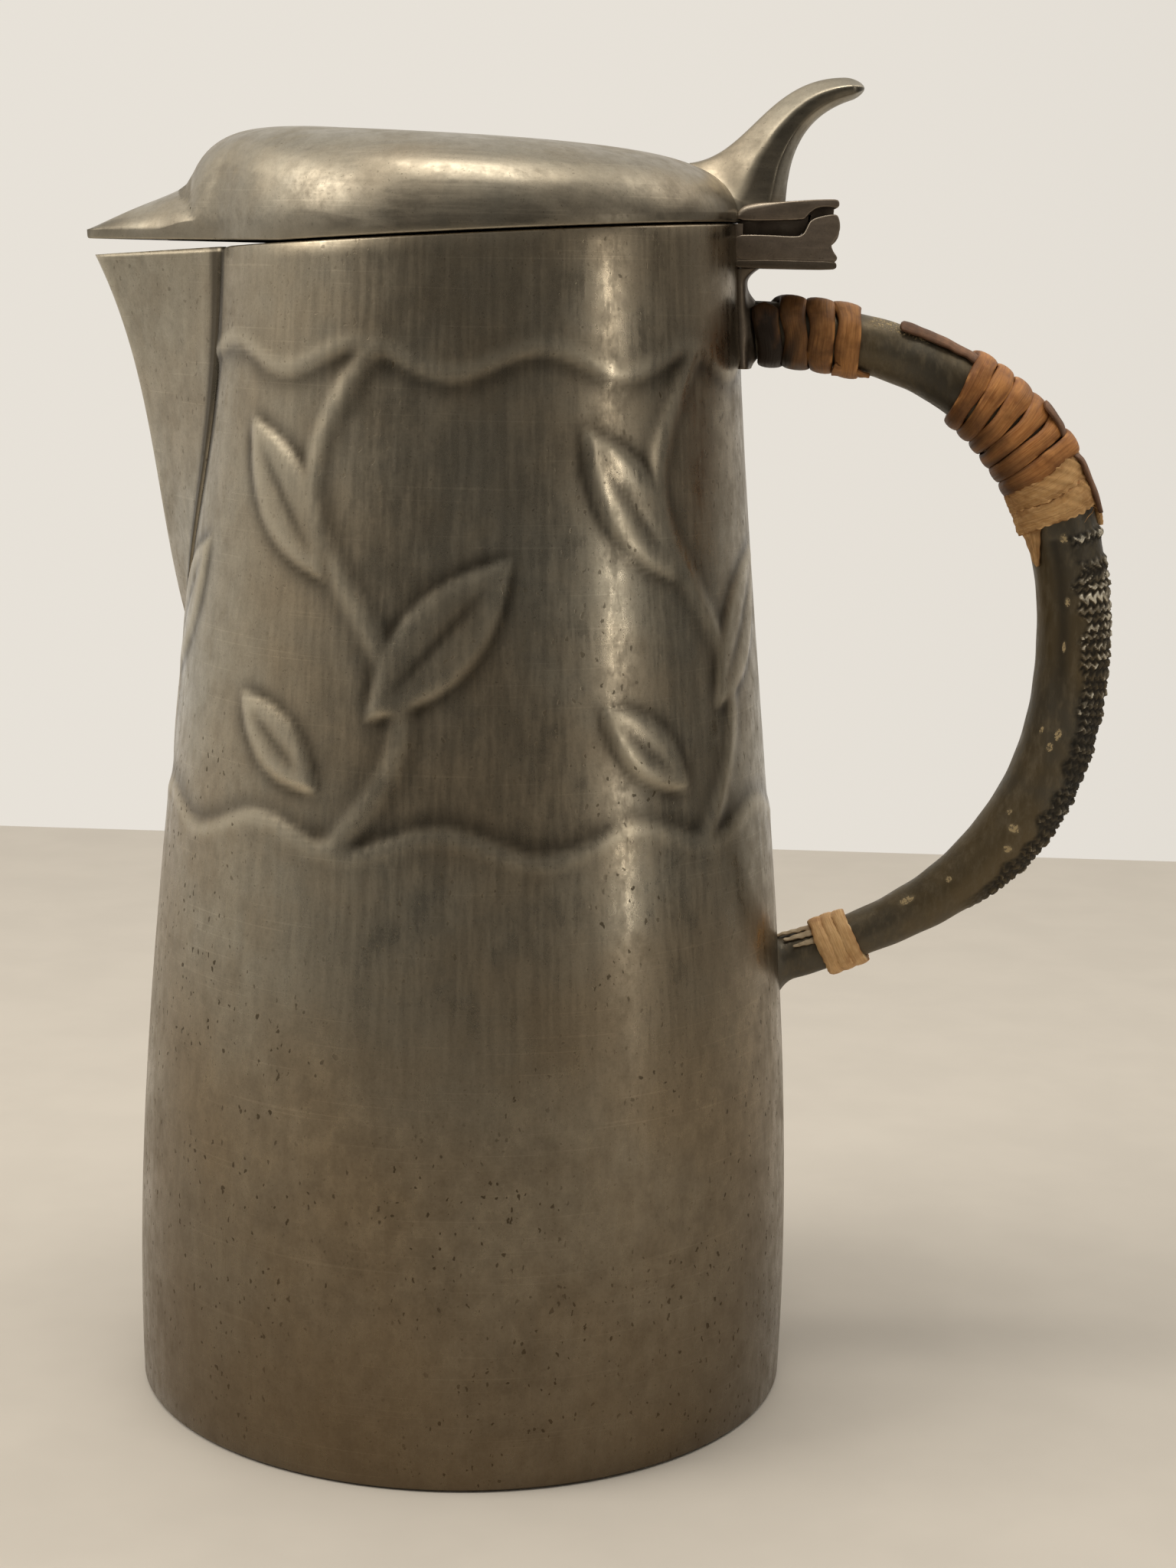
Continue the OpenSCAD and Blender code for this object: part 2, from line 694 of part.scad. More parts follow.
module thumbpiece() {
  color(pewter) opened() difference() {
    on_rim() skin([for (i = [0:thumb_rings]) thumb_ring(i / thumb_rings)]);
    lid_block();
    lid_leaf_plate();
    on_rim() translate([0, -span / 2, leaf_top - span]) cube(span);
  }
}

module hinge_lid_leaf() {
  color(dark_metal) opened() difference() {
    union() {
      lid_leaf_plate();
      along_axis(knuckle_r, -knuckle_w / 2, knuckle_w / 2);
      on_rim() translate([axis_x - knuckle_r, -knuckle_w / 2, axis_z]) cube(
        [knuckle_r + hood_reach - hood_chamfer, knuckle_w, hood_r + hood_t / 2]
      );
    }
    along_axis(pin_r + pin_clear, -hinge_w, hinge_w);
    lid_plan_block(leaf_top);
  }
}

module hinge_body_leaf() {
  color(dark_metal) difference() {
    union() {
      across(hinge_w) polygon([
        [rim_r - over, flange_top],
        [hinge_x + knuckle_r / 2, flange_top],
        [hinge_x + knuckle_r / 2, hinge_z - knuckle_r],
        [hinge_x, hinge_z],
        [hinge_x - knuckle_r, body_leaf_top],
        [rim_r - over, body_leaf_top]
      ]);
      along_axis(knuckle_r, -hinge_w / 2, hinge_w / 2);
      translate([0, -hinge_w / 2 - flange_w, flange_top - flange_t]) cube(
        [hinge_x + flange_reach, hinge_w + 2 * flange_w, flange_t]
      );
    }
    revolved_wall(0);
    along_axis(knuckle_r + knuckle_gap, -slot_w / 2, slot_w / 2);
    along_axis(pin_r + pin_seat, pin_blind - hinge_w / 2, hinge_w);
  }
}

module hinge_pin() {
  color(dark_metal) along_axis(pin_r, pin_blind + solder - hinge_w / 2, hinge_w / 2);
}

module back_strap() {
  low = handle_top_z - root_r - strap_tail;
  high = flange_top - flange_t;
  color(dark_metal) intersection() {
    difference() {
      revolved_wall(strap_t);
      revolved_wall(0);
    }
    translate([0, -strap_w / 2, low]) cube([span, strap_w, high - low]);
  }
}

module handle_core() {
  color(core_metal) difference() {
    skin([for (i = [0:core_rings]) core_ring(handle_l * i / core_rings)]);
    back_strap();
    revolved_wall(0);
  }
}

module upper_cane_wrap() {
  color(dark_cane) skin(upper_rings);
}

module upper_wrap_tail() {
  last = upper_s + upper_pitch * (round(upper_turns + upper_a / 360 - 0.5) + (180 - upper_a) / 360);
  from = last + upper_pitch / 2 + cane_gap;
  color(dark_cane) skin([
    for (i = [0:strip_rings]) let(
      k = i / strip_rings,
      s = from + tail_l * k
    ) strip_ring(s, 180, core_r(s) + cane_gap + cane_t / 2, strip_w * (1 - tail_taper * k), cane_t)
  ]);
}

module top_cane_strip() {
  to = middle_s + middle_pitch * (360 + top_strip_a - middle_a) / 360 - middle_pitch / 2 - cane_gap;
  color(dark_cane) skin([
    for (i = [0:strip_rings]) let(
      k = i / strip_rings,
      s = to - top_strip_l * (1 - k),
      rise = top_strip_rise * (1 - k)^2
    ) strip_ring(s, top_strip_a, core_r(s) + cane_gap + cane_t / 2 + rise, strip_w, cane_t)
  ]);
}

module middle_cane_wrap() {
  color(cane) skin(middle_rings);
}

module side_cane_strip() {
  to = fibre_end_s;
  color(dark_cane) skin([
    for (i = [0:strip_rings]) let(
      s = to - side_strip_l * (1 - i / strip_rings)
    ) strip_ring(s, side_strip_a, core_r(s) + 3 * cane_gap + 1.5 * cane_t, strip_w, cane_t)
  ]);
}

module fibre_band() {
  color(pale_fibre) skin(fibre_rings);
}

module lower_cane_wrap() {
  color(cane) skin(lower_rings);
}

module lower_cane_strand() {
  from = handle_l - lower_start + cane_gap;
  color(cane) difference() {
    skin([
      for (i = [0:strip_rings]) let(
        s = from + (handle_l - from) * i / strip_rings
      ) strip_ring(s, 180, core_r(s) + cane_gap + cane_t / 2, strip_w, cane_t)
    ]);
    revolved_wall(cane_gap);
  }
}

body_shell();
base_plate();
spout();
lid();
thumbpiece();
hinge_lid_leaf();
hinge_body_leaf();
hinge_pin();
back_strap();
handle_core();
upper_cane_wrap();
upper_wrap_tail();
top_cane_strip();
middle_cane_wrap();
side_cane_strip();
fibre_band();
lower_cane_wrap();
lower_cane_strand();
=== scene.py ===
import math

import bpy
import numpy as np
from mathutils import Matrix, Vector


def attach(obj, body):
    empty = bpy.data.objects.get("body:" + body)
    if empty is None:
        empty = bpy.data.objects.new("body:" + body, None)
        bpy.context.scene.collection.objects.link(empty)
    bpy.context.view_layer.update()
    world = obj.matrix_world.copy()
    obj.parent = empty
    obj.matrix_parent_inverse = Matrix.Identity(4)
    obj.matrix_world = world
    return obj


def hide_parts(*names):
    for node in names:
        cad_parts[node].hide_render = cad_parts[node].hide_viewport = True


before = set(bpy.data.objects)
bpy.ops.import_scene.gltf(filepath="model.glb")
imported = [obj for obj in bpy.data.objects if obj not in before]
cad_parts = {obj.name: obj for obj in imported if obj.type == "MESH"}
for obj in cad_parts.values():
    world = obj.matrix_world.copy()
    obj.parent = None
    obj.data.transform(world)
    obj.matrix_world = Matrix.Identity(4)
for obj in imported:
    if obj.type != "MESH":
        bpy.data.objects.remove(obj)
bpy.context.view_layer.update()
print("frame loaded")

mm = 0.001  # shapes are worked out in millimetres and put into the mesh in metres


# a dictionary whose values can also be read by name after a dot
class Values(dict):
    __getattr__ = dict.__getitem__


# cubic curve from a to d, drawn towards b and c
def bez(a, b, c, d, t):
    return a * (1 - t) ** 3 + 3 * b * t * (1 - t) ** 2 + 3 * c * t**2 * (1 - t) + d * t**3


# 0 to 1 with level ends
def smooth(t):
    k = np.clip(t, 0, 1)
    return k * k * (3 - 2 * k)


# one at zero, falling away on both sides as e to the minus square of x over the width
def bell(x, width):
    return np.exp(-((x / width) ** 2))


# coordinates put together as points
def stacked(*coordinates):
    return np.stack(np.broadcast_arrays(*coordinates), -1)


# smooth random line of about -1 to 1: a sum of sine waves with seeded phases, about one wave per length
def waver(x, length, seed, count=5):
    rng = np.random.default_rng(seed)
    rates = rng.uniform(0.5, 2.2, count) / length
    phases = rng.uniform(0, 2 * np.pi, count)
    weights = rng.uniform(0.4, 1, count)
    total = sum(w * np.sin(2 * np.pi * k * x + p) for w, k, p in zip(weights, rates, phases))
    return total / weights.sum() * 1.6


# quads between two lines of point numbers
def strip(a, b):
    return stacked(a[:-1], a[1:], b[1:], b[:-1])


# quads between neighbouring points of a grid whose rows and columns may close on themselves
def gridQuads(rows, cols, wrapRows=False, wrapCols=False):
    r = np.arange(rows if wrapRows else rows - 1)[:, None]
    c = np.arange(cols if wrapCols else cols - 1)[None, :]
    r2, c2 = (r + 1) % rows, (c + 1) % cols
    return stacked(r * cols + c, r * cols + c2, r2 * cols + c2, r2 * cols + c).reshape(-1, 4)


# a profile of radius and height carried round an axis: two coordinates across the axis and one along it
def spun(profile, count):
    r, h = np.array(profile, float).T[..., None]
    a = np.linspace(0, 2 * np.pi, count, endpoint=False)[None, :]
    return r * np.cos(a), r * np.sin(a), h


# closed rings of points, one after another, joined into a tube with a fan of triangles over each end; a
# mark is a value at each point, and the middle of an end takes the mean of its ring
def tube(rings, uv=None, **marks):
    rows, cols = rings.shape[:2]
    count = rows * cols
    k = np.arange(cols)
    after = (k + 1) % cols
    first = stacked(count, after, k)
    last = stacked(count + 1, count - cols + k, count - cols + after)
    points = np.concatenate([rings.reshape(-1, 3), [rings[0].mean(0), rings[-1].mean(0)]])
    part = dict(points=points, faces=[gridQuads(rows, cols, wrapCols=True), first, last])
    flats = {key: np.broadcast_to(values, (rows, cols)).reshape(-1, 1) for key, values in marks.items()}
    if uv is not None:
        flats["uv"] = uv.reshape(-1, 2)
    for key, flat in flats.items():
        part[key] = np.concatenate([flat, [flat[:cols].mean(0), flat[-cols:].mean(0)]])
    return part


# several surfaces put together as one, with their marks
def joined(parts):
    sizes = np.cumsum([0] + [len(p["points"]) for p in parts])
    whole = {key: np.concatenate([p[key] for p in parts]) for key in parts[0] if key != "faces"}
    whole["faces"] = [f + s for p, s in zip(parts, sizes) for f in p["faces"]]
    return whole


# a surface as an object at the origin, riding on a body and standing for its CAD node
def makePiece(name, part, material, replaced, body="flagon"):
    mesh = bpy.data.meshes.new(name)
    faces = [face for group in part["faces"] for face in group.tolist()]
    mesh.from_pydata((part["points"] * mm).tolist(), [], faces)
    mesh.polygons.foreach_set("use_smooth", np.ones(len(mesh.polygons), bool))
    corner = np.empty(len(mesh.loops), np.int32)
    mesh.loops.foreach_get("vertex_index", corner)
    for key, values in part.items():
        if key == "uv":
            layer = mesh.uv_layers.new(name="strip")
            layer.data.foreach_set("uv", values[corner].astype(np.float32).ravel())
        elif key not in ("points", "faces"):
            mark = mesh.attributes.new(key, "FLOAT", "POINT")
            mark.data.foreach_set("value", values.astype(np.float32).ravel())
    mesh.materials.append(material)
    mesh.update()
    piece = bpy.data.objects.new(name, mesh)
    bpy.context.scene.collection.objects.link(piece)
    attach(piece, body)
    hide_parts(replaced)


# Finishes

# short ways to add nodes to one tree; an input takes a value or a link from another node's output
class Nodes:
    def __init__(self, owner):
        owner.use_nodes = True
        self.tree = owner.node_tree

    def feed(self, node, inputs):
        for key, value in inputs.items():
            socket = node.inputs[key]
            if isinstance(value, bpy.types.NodeSocket):
                self.tree.links.new(value, socket)
            else:
                socket.default_value = (*value, 1) if socket.type == "RGBA" else value

    def add(self, kind, inputs, output=0, **settings):
        node = self.tree.nodes.new("ShaderNode" + kind)
        for key, value in settings.items():
            setattr(node, key, value)
        self.feed(node, inputs)
        return node.outputs[output]

    def place(self, kind="Object"):
        return self.add("TexCoord", {}, kind)

    def mark(self, name):
        return self.add("Attribute", {}, "Fac", attribute_name=name)

    def math(self, how, a, b):
        return self.add("Math", {0: a, 1: b}, operation=how)

    def plus(self, first, *others):
        for other in others:
            first = self.math("ADD", first, other)
        return first

    def times(self, a, b):
        return self.math("MULTIPLY", a, b)

    # a value from low to high, spread over the outputs with level ends
    def spread(self, value, low, high, outLow=0.0, outHigh=1.0):
        inputs = {"Value": value, "From Min": low, "From Max": high, "To Min": outLow, "To Max": outHigh}
        return self.add("MapRange", inputs, interpolation_type="SMOOTHSTEP")

    def mix(self, share, a, b, how="MIX"):
        return self.add("Mix", {0: share, 6: a, 7: b}, 2, data_type="RGBA", blend_type=how)

    # a colour darkened or lightened by a value
    def shaded(self, tone, value):
        return self.mix(1.0, tone, self.add("CombineColor", {0: value, 1: value, 2: value}), "MULTIPLY")

    def noise(self, where, scale, detail=3.0, rough=0.55, stretch=(1, 1, 1), turn=(0, 0, 0)):
        where = self.add("Mapping", {"Vector": where, "Scale": stretch, "Rotation": turn})
        return self.add("TexNoise", {"Vector": where, "Scale": scale, "Detail": detail, "Roughness": rough})

    # small dark pits: a dot in some cells of a net, its size by the cell's own random number
    def pits(self, where, scale, share, size):
        far = self.add("TexVoronoi", {"Vector": where, "Scale": scale, "Randomness": 1.0}, "Distance")
        pick = self.add("SeparateColor", {0: far.node.outputs["Color"]})
        radius = self.spread(pick, 1 - share, 1.0, 0.0, size)
        return self.spread(self.math("SUBTRACT", radius, far), 0.0, size * 0.25)

    def bump(self, strength, depth, height, **more):
        return self.add("Bump", {"Strength": strength, "Distance": depth, "Height": height, **more})


# a material being made, whose shader is fed last
class Finish(Nodes):
    def __init__(self, name):
        self.material = bpy.data.materials.new(name)
        super().__init__(self.material)

    def finished(self, **inputs):
        shader = self.tree.nodes["Principled BSDF"]
        self.feed(shader, {key.replace("_", " "): value for key, value in inputs.items()})
        return self.material


# a colour times a number, no part over one
def scaled(colour, by):
    return tuple(min(1, by * k) for k in colour)


pewterLook = Values(
    warm=(0.318, 0.262, 0.184), cool=(0.335, 0.302, 0.236), pit=(0.06, 0.048, 0.03),
    patina=(0.05, 0.04, 0.027), worn=(0.60, 0.535, 0.41), brown=(0.16, 0.105, 0.055), rough=(0.26, 0.40),
    brush=0.00003, pitDepth=0.00006, mottleWay=(1, 1, 0.7), pitWay=(1, 1, 0.6), pitted=(0.34, 0.60),
    pitFade=(0.09, 0.16, 1.0, 0.45), footTop=0.12, scratchWay=(0.015, 0.015, 1),
    scratchTurn=(0.12, 0.08, 0), shake=0.0016,
)


# dull pewter: warm and cool clouds, mottling, fine rub marks along one direction, pits and specks in
# patches that fade upwards, a few scratches round the piece, dark hollows, paler edges and, where asked
# for, a darker and browner foot painted in as the reflection of a brown table
def pewter(name, along, look=pewterLook, marks=True, tint=1.0, foot=1.0):
    f = Finish(name)
    where = f.place()
    up = f.add("SeparateXYZ", {0: where}, "Z")
    clouds = f.noise(where, 22.0, 5.0)
    blotch = f.noise(where, 95.0, 4.0, 0.65)
    mottle = f.noise(where, 330.0, 5.0, 0.7, look.mottleWay)
    fine = f.noise(where, 850.0, 3.0, 0.6, along)
    coarse = f.noise(where, 240.0, 2.0, 0.5, along)
    grain = f.noise(where, 1700.0, 3.0, 0.65)
    scratch = f.noise(where, 2400.0, 1.0, 0.5, look.scratchWay, look.scratchTurn)
    shake = f.add("TexNoise", {"Vector": where, "Scale": 700.0, "Detail": 2.0}, "Color")
    shake = f.add("VectorMath", {0: shake, "Scale": look.shake}, operation="SCALE")
    shaken = f.add("VectorMath", {0: where, 1: shake}, operation="ADD")
    drawn = f.add("Mapping", {"Vector": shaken, "Scale": look.pitWay})
    patch = f.times(f.spread(f.noise(where, 34.0, 3.0), *look.pitted), f.spread(up, *look.pitFade))
    dots = f.times(f.pits(drawn, 900.0, 0.9, 0.29), patch)
    dark = f.math("MAXIMUM", dots, f.pits(drawn, 240.0, 0.2, 0.095))
    specks = f.spread(grain, 0.60, 0.74, 0.0, 0.5)

    tone = f.mix(f.spread(clouds, 0.35, 0.68), look.warm, look.cool)
    tone = f.mix(f.spread(blotch, 0.42, 0.75, 0.0, 0.45), tone, scaled(look.warm, 0.72))
    tone = f.shaded(tone, f.plus(
        f.spread(fine, 0.3, 0.7, 0.94, 1.03), f.spread(coarse, 0.3, 0.7, -0.015, 0.015),
        f.spread(grain, 0.3, 0.6, -0.06, 0.06), f.spread(mottle, 0.32, 0.68, -0.11, 0.08),
        f.spread(scratch, 0.67, 0.72, 0.0, 0.14)))
    if marks:
        tone = f.mix(f.times(f.mark("patina"), 0.85), tone, look.patina)
        tone = f.mix(f.times(f.mark("worn"), 0.6), tone, look.worn)
    tone = f.mix(f.math("MAXIMUM", f.times(dark, 0.8), specks), tone, look.pit)
    # painted reflection: near the bottom the tone is darkened and browned as if a brown table were mirrored
    # there
    if foot != 1.0:
        tone = f.mix(f.spread(up, 0.0, look.footTop, 1.0, 0.0), tone, f.shaded(tone, foot))
        tone = f.mix(f.spread(up, 0.0, look.footTop, 0.4, 0.0), tone, look.brown)
    if tint != 1.0:
        tone = f.mix(1.0, tone, (tint, tint, tint), "MULTIPLY")

    rough = f.plus(
        f.spread(blotch, 0.3, 0.75, *look.rough), f.spread(mottle, 0.35, 0.65, 0.07, -0.04),
        f.spread(fine, 0.35, 0.7, -0.03, 0.05), f.times(dark, 0.25))
    lines = f.bump(0.2, look.brush, f.plus(fine, mottle))
    holes = f.bump(0.35, look.pitDepth, f.math("SUBTRACT", 1.0, dark), Normal=lines)
    return f.finished(Base_Color=tone, Roughness=rough, Normal=holes, Metallic=1.0)


# the body's foot carries the painted reflection of a brown table
bodyPewter = pewter("bodyPewter", (1, 1, 0.05), foot=0.48)
lidPewter = pewter("lidPewter", (0.05, 1, 1), Values(
    pewterLook, warm=(0.312, 0.268, 0.2), cool=(0.33, 0.305, 0.248), rough=(0.33, 0.48),
    mottleWay=(1, 1, 1), pitWay=(1, 1, 1), pitted=(0.46, 0.80)), tint=0.95)
hingePewter = pewter("hingePewter", (0.3, 1, 1), Values(
    pewterLook, warm=(0.225, 0.178, 0.134), cool=(0.265, 0.222, 0.18), worn=(0.46, 0.41, 0.335),
    rough=(0.38, 0.55), pitted=(0.46, 0.80)))
innerPewter = pewter(
    "innerPewter", (1, 1, 0.2), Values(pewterLook, rough=(0.4, 0.6)), marks=False, tint=0.8)

coreLook = Values(
    slate=(0.096, 0.083, 0.060), olive=(0.12, 0.089, 0.046), grey=(0.19, 0.153, 0.097),
    film=(0.27, 0.215, 0.13), residue=(0.50, 0.38, 0.20), black=(0.012, 0.010, 0.007),
    tip=(0.82, 0.76, 0.62), depth=0.00015,
)


# dark cast metal: slate and olive mottling, a tan film with pale flecks, black as painted shade between
# the burrs and as soot elsewhere, and pale burr tips of worn metal with a painted highlight
def coreMetal(name, look):
    f = Finish(name)
    where = f.place()
    clouds = f.noise(where, 60.0, 4.0, 0.6)
    grain = f.noise(where, 900.0, 3.0, 0.65, (1, 1, 0.4))
    patch = f.noise(where, 420.0, 3.0, 0.6)
    crumbs = f.noise(where, 2300.0, 3.0, 0.65)
    burr, rasped, residue = f.mark("burr"), f.mark("rasped"), f.mark("residue")
    tone = f.mix(f.spread(clouds, 0.35, 0.65), look.slate, look.olive)
    tone = f.mix(f.spread(grain, 0.42, 0.75, 0.0, 0.6), tone, look.grey)
    # painted shade: black between the teeth where the burr mark is low, and soot at the other marked places
    valleyShadeAndSoot = f.times(rasped, f.spread(burr, 0.05, 0.5, 1.0, 0.0))
    tone = f.mix(f.times(valleyShadeAndSoot, 0.85), tone, look.black)
    # painted highlight on the burr tips, over their worn pale metal
    bright = f.times(f.spread(burr, 0.36, 0.62), f.spread(patch, 0.38, 0.6, 0.15, 1.0))
    tone = f.mix(f.times(rasped, bright), tone, look.tip)
    tone = f.mix(f.times(residue, f.spread(patch, 0.3, 0.7, 0.15, 1.0)), tone, look.film)
    tan = f.spread(f.times(residue, f.spread(crumbs, 0.36, 0.62, 0.0, 1.25)), 0.42, 0.58)
    tone = f.mix(f.times(tan, 0.9), tone, look.residue)
    return f.finished(
        Base_Color=tone, Metallic=f.times(f.math("SUBTRACT", 1.0, tan), 0.55),
        Roughness=f.plus(f.spread(grain, 0.3, 0.7, 0.4, 0.62), f.times(tan, 0.25)),
        Normal=f.bump(0.5, look.depth, f.plus(grain, f.times(tan, 1.5))))


handleMetal = coreMetal("handleMetal", coreLook)


# split cane: lengthwise grain on the strip's own map, browner at its edges as painted shade where strips
# meet, darker with grime and with painted shade on the wraps' inner side, pale where frayed
def cane(name, pale, mid, dark, grime, fuzz=0.0, rough=(0.42, 0.62)):
    f = Finish(name)
    lengthwise = f.add("UVMap", {}, uv_map="strip")
    grain = f.noise(lengthwise, 1.0, 4.0, 0.65, (0.25, 4.0, 1.0))
    thread = f.noise(lengthwise, 1.0, 2.0, 0.5, (0.07, 9.0, 1.0))
    clouds = f.noise(f.place(), 160.0, 4.0, 0.6)
    tone = f.mix(f.spread(grain, 0.3, 0.7), mid, pale)
    tone = f.mix(f.spread(clouds, 0.42, 0.72, 0.0, 0.75), tone, dark)
    tone = f.mix(f.spread(thread, 0.52, 0.72, 0.0, 0.5), tone, dark)
    # painted shade along the strip's edges
    tone = f.mix(f.times(f.mark("edge"), 0.8), tone, dark)
    tone = f.mix(f.times(f.mark("fray"), 0.85), tone, scaled(pale, 1.25))
    # grime together with painted shade on the wraps' inner side
    tone = f.mix(f.mark("grime"), tone, grime)
    if fuzz:
        tone = f.mix(f.spread(thread, 0.25, 0.42, fuzz, 0.0), tone, scaled(pale, 1.35))
    return f.finished(
        Base_Color=tone, Roughness=f.spread(grain, 0.3, 0.7, *rough), Specular_IOR_Level=0.25,
        Normal=f.bump(0.6, 0.00012, f.plus(grain, f.times(thread, 0.8))))


caneWarm = cane(
    "caneWarm", (0.59, 0.275, 0.09), (0.40, 0.158, 0.046), (0.15, 0.053, 0.015), (0.05, 0.022, 0.009))
caneDark = cane(
    "caneDark", (0.56, 0.265, 0.09), (0.38, 0.165, 0.05), (0.12, 0.046, 0.015), (0.020, 0.012, 0.007))
caneStrip = cane(
    "caneStrip", (0.34, 0.18, 0.10), (0.22, 0.11, 0.058), (0.09, 0.042, 0.021), (0.05, 0.03, 0.02))
caneFibre = cane(
    "caneFibre", (0.70, 0.435, 0.20), (0.55, 0.305, 0.115), (0.28, 0.13, 0.044), (0.10, 0.055, 0.025),
    fuzz=0.5, rough=(0.7, 0.9))
caneLower = cane(
    "caneLower", (0.85, 0.57, 0.29), (0.71, 0.42, 0.18), (0.41, 0.20, 0.08), (0.12, 0.056, 0.023),
    fuzz=0.35, rough=(0.5, 0.75))
canePale = cane(
    "canePale", (0.74, 0.64, 0.47), (0.62, 0.49, 0.32), (0.36, 0.24, 0.13), (0.14, 0.09, 0.05),
    fuzz=0.4, rough=(0.7, 0.9))
print("finishes made")


# Body

wall = Values(
    foot=58.0, belly=60.5, neck=47.8, rim=44.7, height=202.0, slope=math.radians(3.8), thick=1.8, base=2.5)


# radius of the wall at a height
def wallR(z):
    return bez(wall.foot, wall.belly, wall.neck, wall.rim, z / wall.height)


# height of the sloping rim plane over x
def rimZ(x):
    return wall.height + x * math.tan(wall.slope)


beak = Values(
    reach=21.0, waist=9.5, heel=8.0, drop=64.0, half=19.0, swell=22.0, heelHalf=20.0, nose=1.6, sheet=1.5,
    sink=0.9, holeEnd=0.82)
lipZ = rimZ(-(wall.rim + beak.reach))


# reach of the spout's nose beyond the wall, from the lip down
def beakOut(t):
    return bez(beak.reach, beak.waist, beak.heel, 0, t)


# half-width of the spout's seam, from the lip down
def beakHalf(t):
    return bez(beak.half, beak.swell, beak.heelHalf, 0, t)


# each leaf: place round the wall and up it, tilt in degrees, length, breadth, and whether it is there
# under the spout
relief = Values(
    radius=51.0, repeats=5, top=182.0, low=107.0, wave=2.2, edge=2.8, sunk=0.4, bead=0.14, beadW=1.8,
    stemSway=9.0, stem=0.36, stemW=2.0, leaf=0.5, leafEdge=3.0, rib=0.2, ribW=1.3,
    leaves=((15.0, 139.0, 48.0, 34.0, 13.0, 1), (-15.0, 160.0, 128.0, 31.0, 12.0, 0),
            (-13.5, 121.0, 140.0, 22.0, 9.0, 1)),
)


# low relief: a sunk field between two wavy beads, and in each repeat an S-curved stem and pointed leaves,
# each leaf an almond whose half-width falls as one minus the square of the way to its tip
def reliefHeight(turn, z):
    w = relief
    width = 2 * np.pi * w.radius / w.repeats
    place = turn * w.repeats / (2 * np.pi) + 0.5
    u = place % 1 * width - width / 2
    ripple = w.wave * np.cos(4 * np.pi * u / width)
    above, below = w.top + ripple - z, z - w.low + ripple
    field = smooth(above / w.edge + 0.5) * smooth(below / w.edge + 0.5)
    height = -w.sunk * field
    height = height + w.bead * (bell(above, w.beadW) + bell(below, w.beadW))
    climb = (z - w.low) / (w.top - w.low)
    sway = w.stemSway * np.sin(2 * np.pi * climb)
    lean = 2 * np.pi * w.stemSway / (w.top - w.low) * np.cos(2 * np.pi * climb)
    height = height + w.stem * bell((u - sway) / np.sqrt(1 + lean**2), w.stemW) * field
    for u0, z0, tilt, length, broad, kept in w.leaves:
        c, s = math.cos(math.radians(tilt)), math.sin(math.radians(tilt))
        p = ((u - u0) * c + (z - z0) * s) / (length / 2)
        q = (z - z0) * c - (u - u0) * s
        inside = broad / 2 * (1 - p**2) - np.abs(q)
        there = np.where(np.floor(place) == 0, kept, 1)
        blade = smooth(inside / w.leafEdge + 0.4) * (np.abs(p) < 1.15) * there
        rib = w.rib * bell(q, w.ribW) * smooth(1.2 - np.abs(p) * 1.2)
        height = np.maximum(height, (w.leaf - w.sunk - rib) * blade + (1 - blade) * height)
    return height


# round each root of the handle: height, size and depth of a dark stain with painted shadow; dent and bump
# are the relief's steps that show fully
bodyGrid = Values(
    columns=360, lowRows=22, bandRows=104, topRows=5, bandFrom=96, bandTo=190, round=0.45, bevel=0.12,
    holeColumn=9, holeSpread=30, blur=3, dent=0.16, bump=0.2, seamEnd=3.2, seamFrom=3.4, seamFade=1.8,
    hingeFrom=160, hingeFade=4, hingeLow=196.5, hingeRise=1.5, hingeStain=0.5,
    stains=((187.4, 11.0, 0.75), (76.4, 9.0, 0.5)))
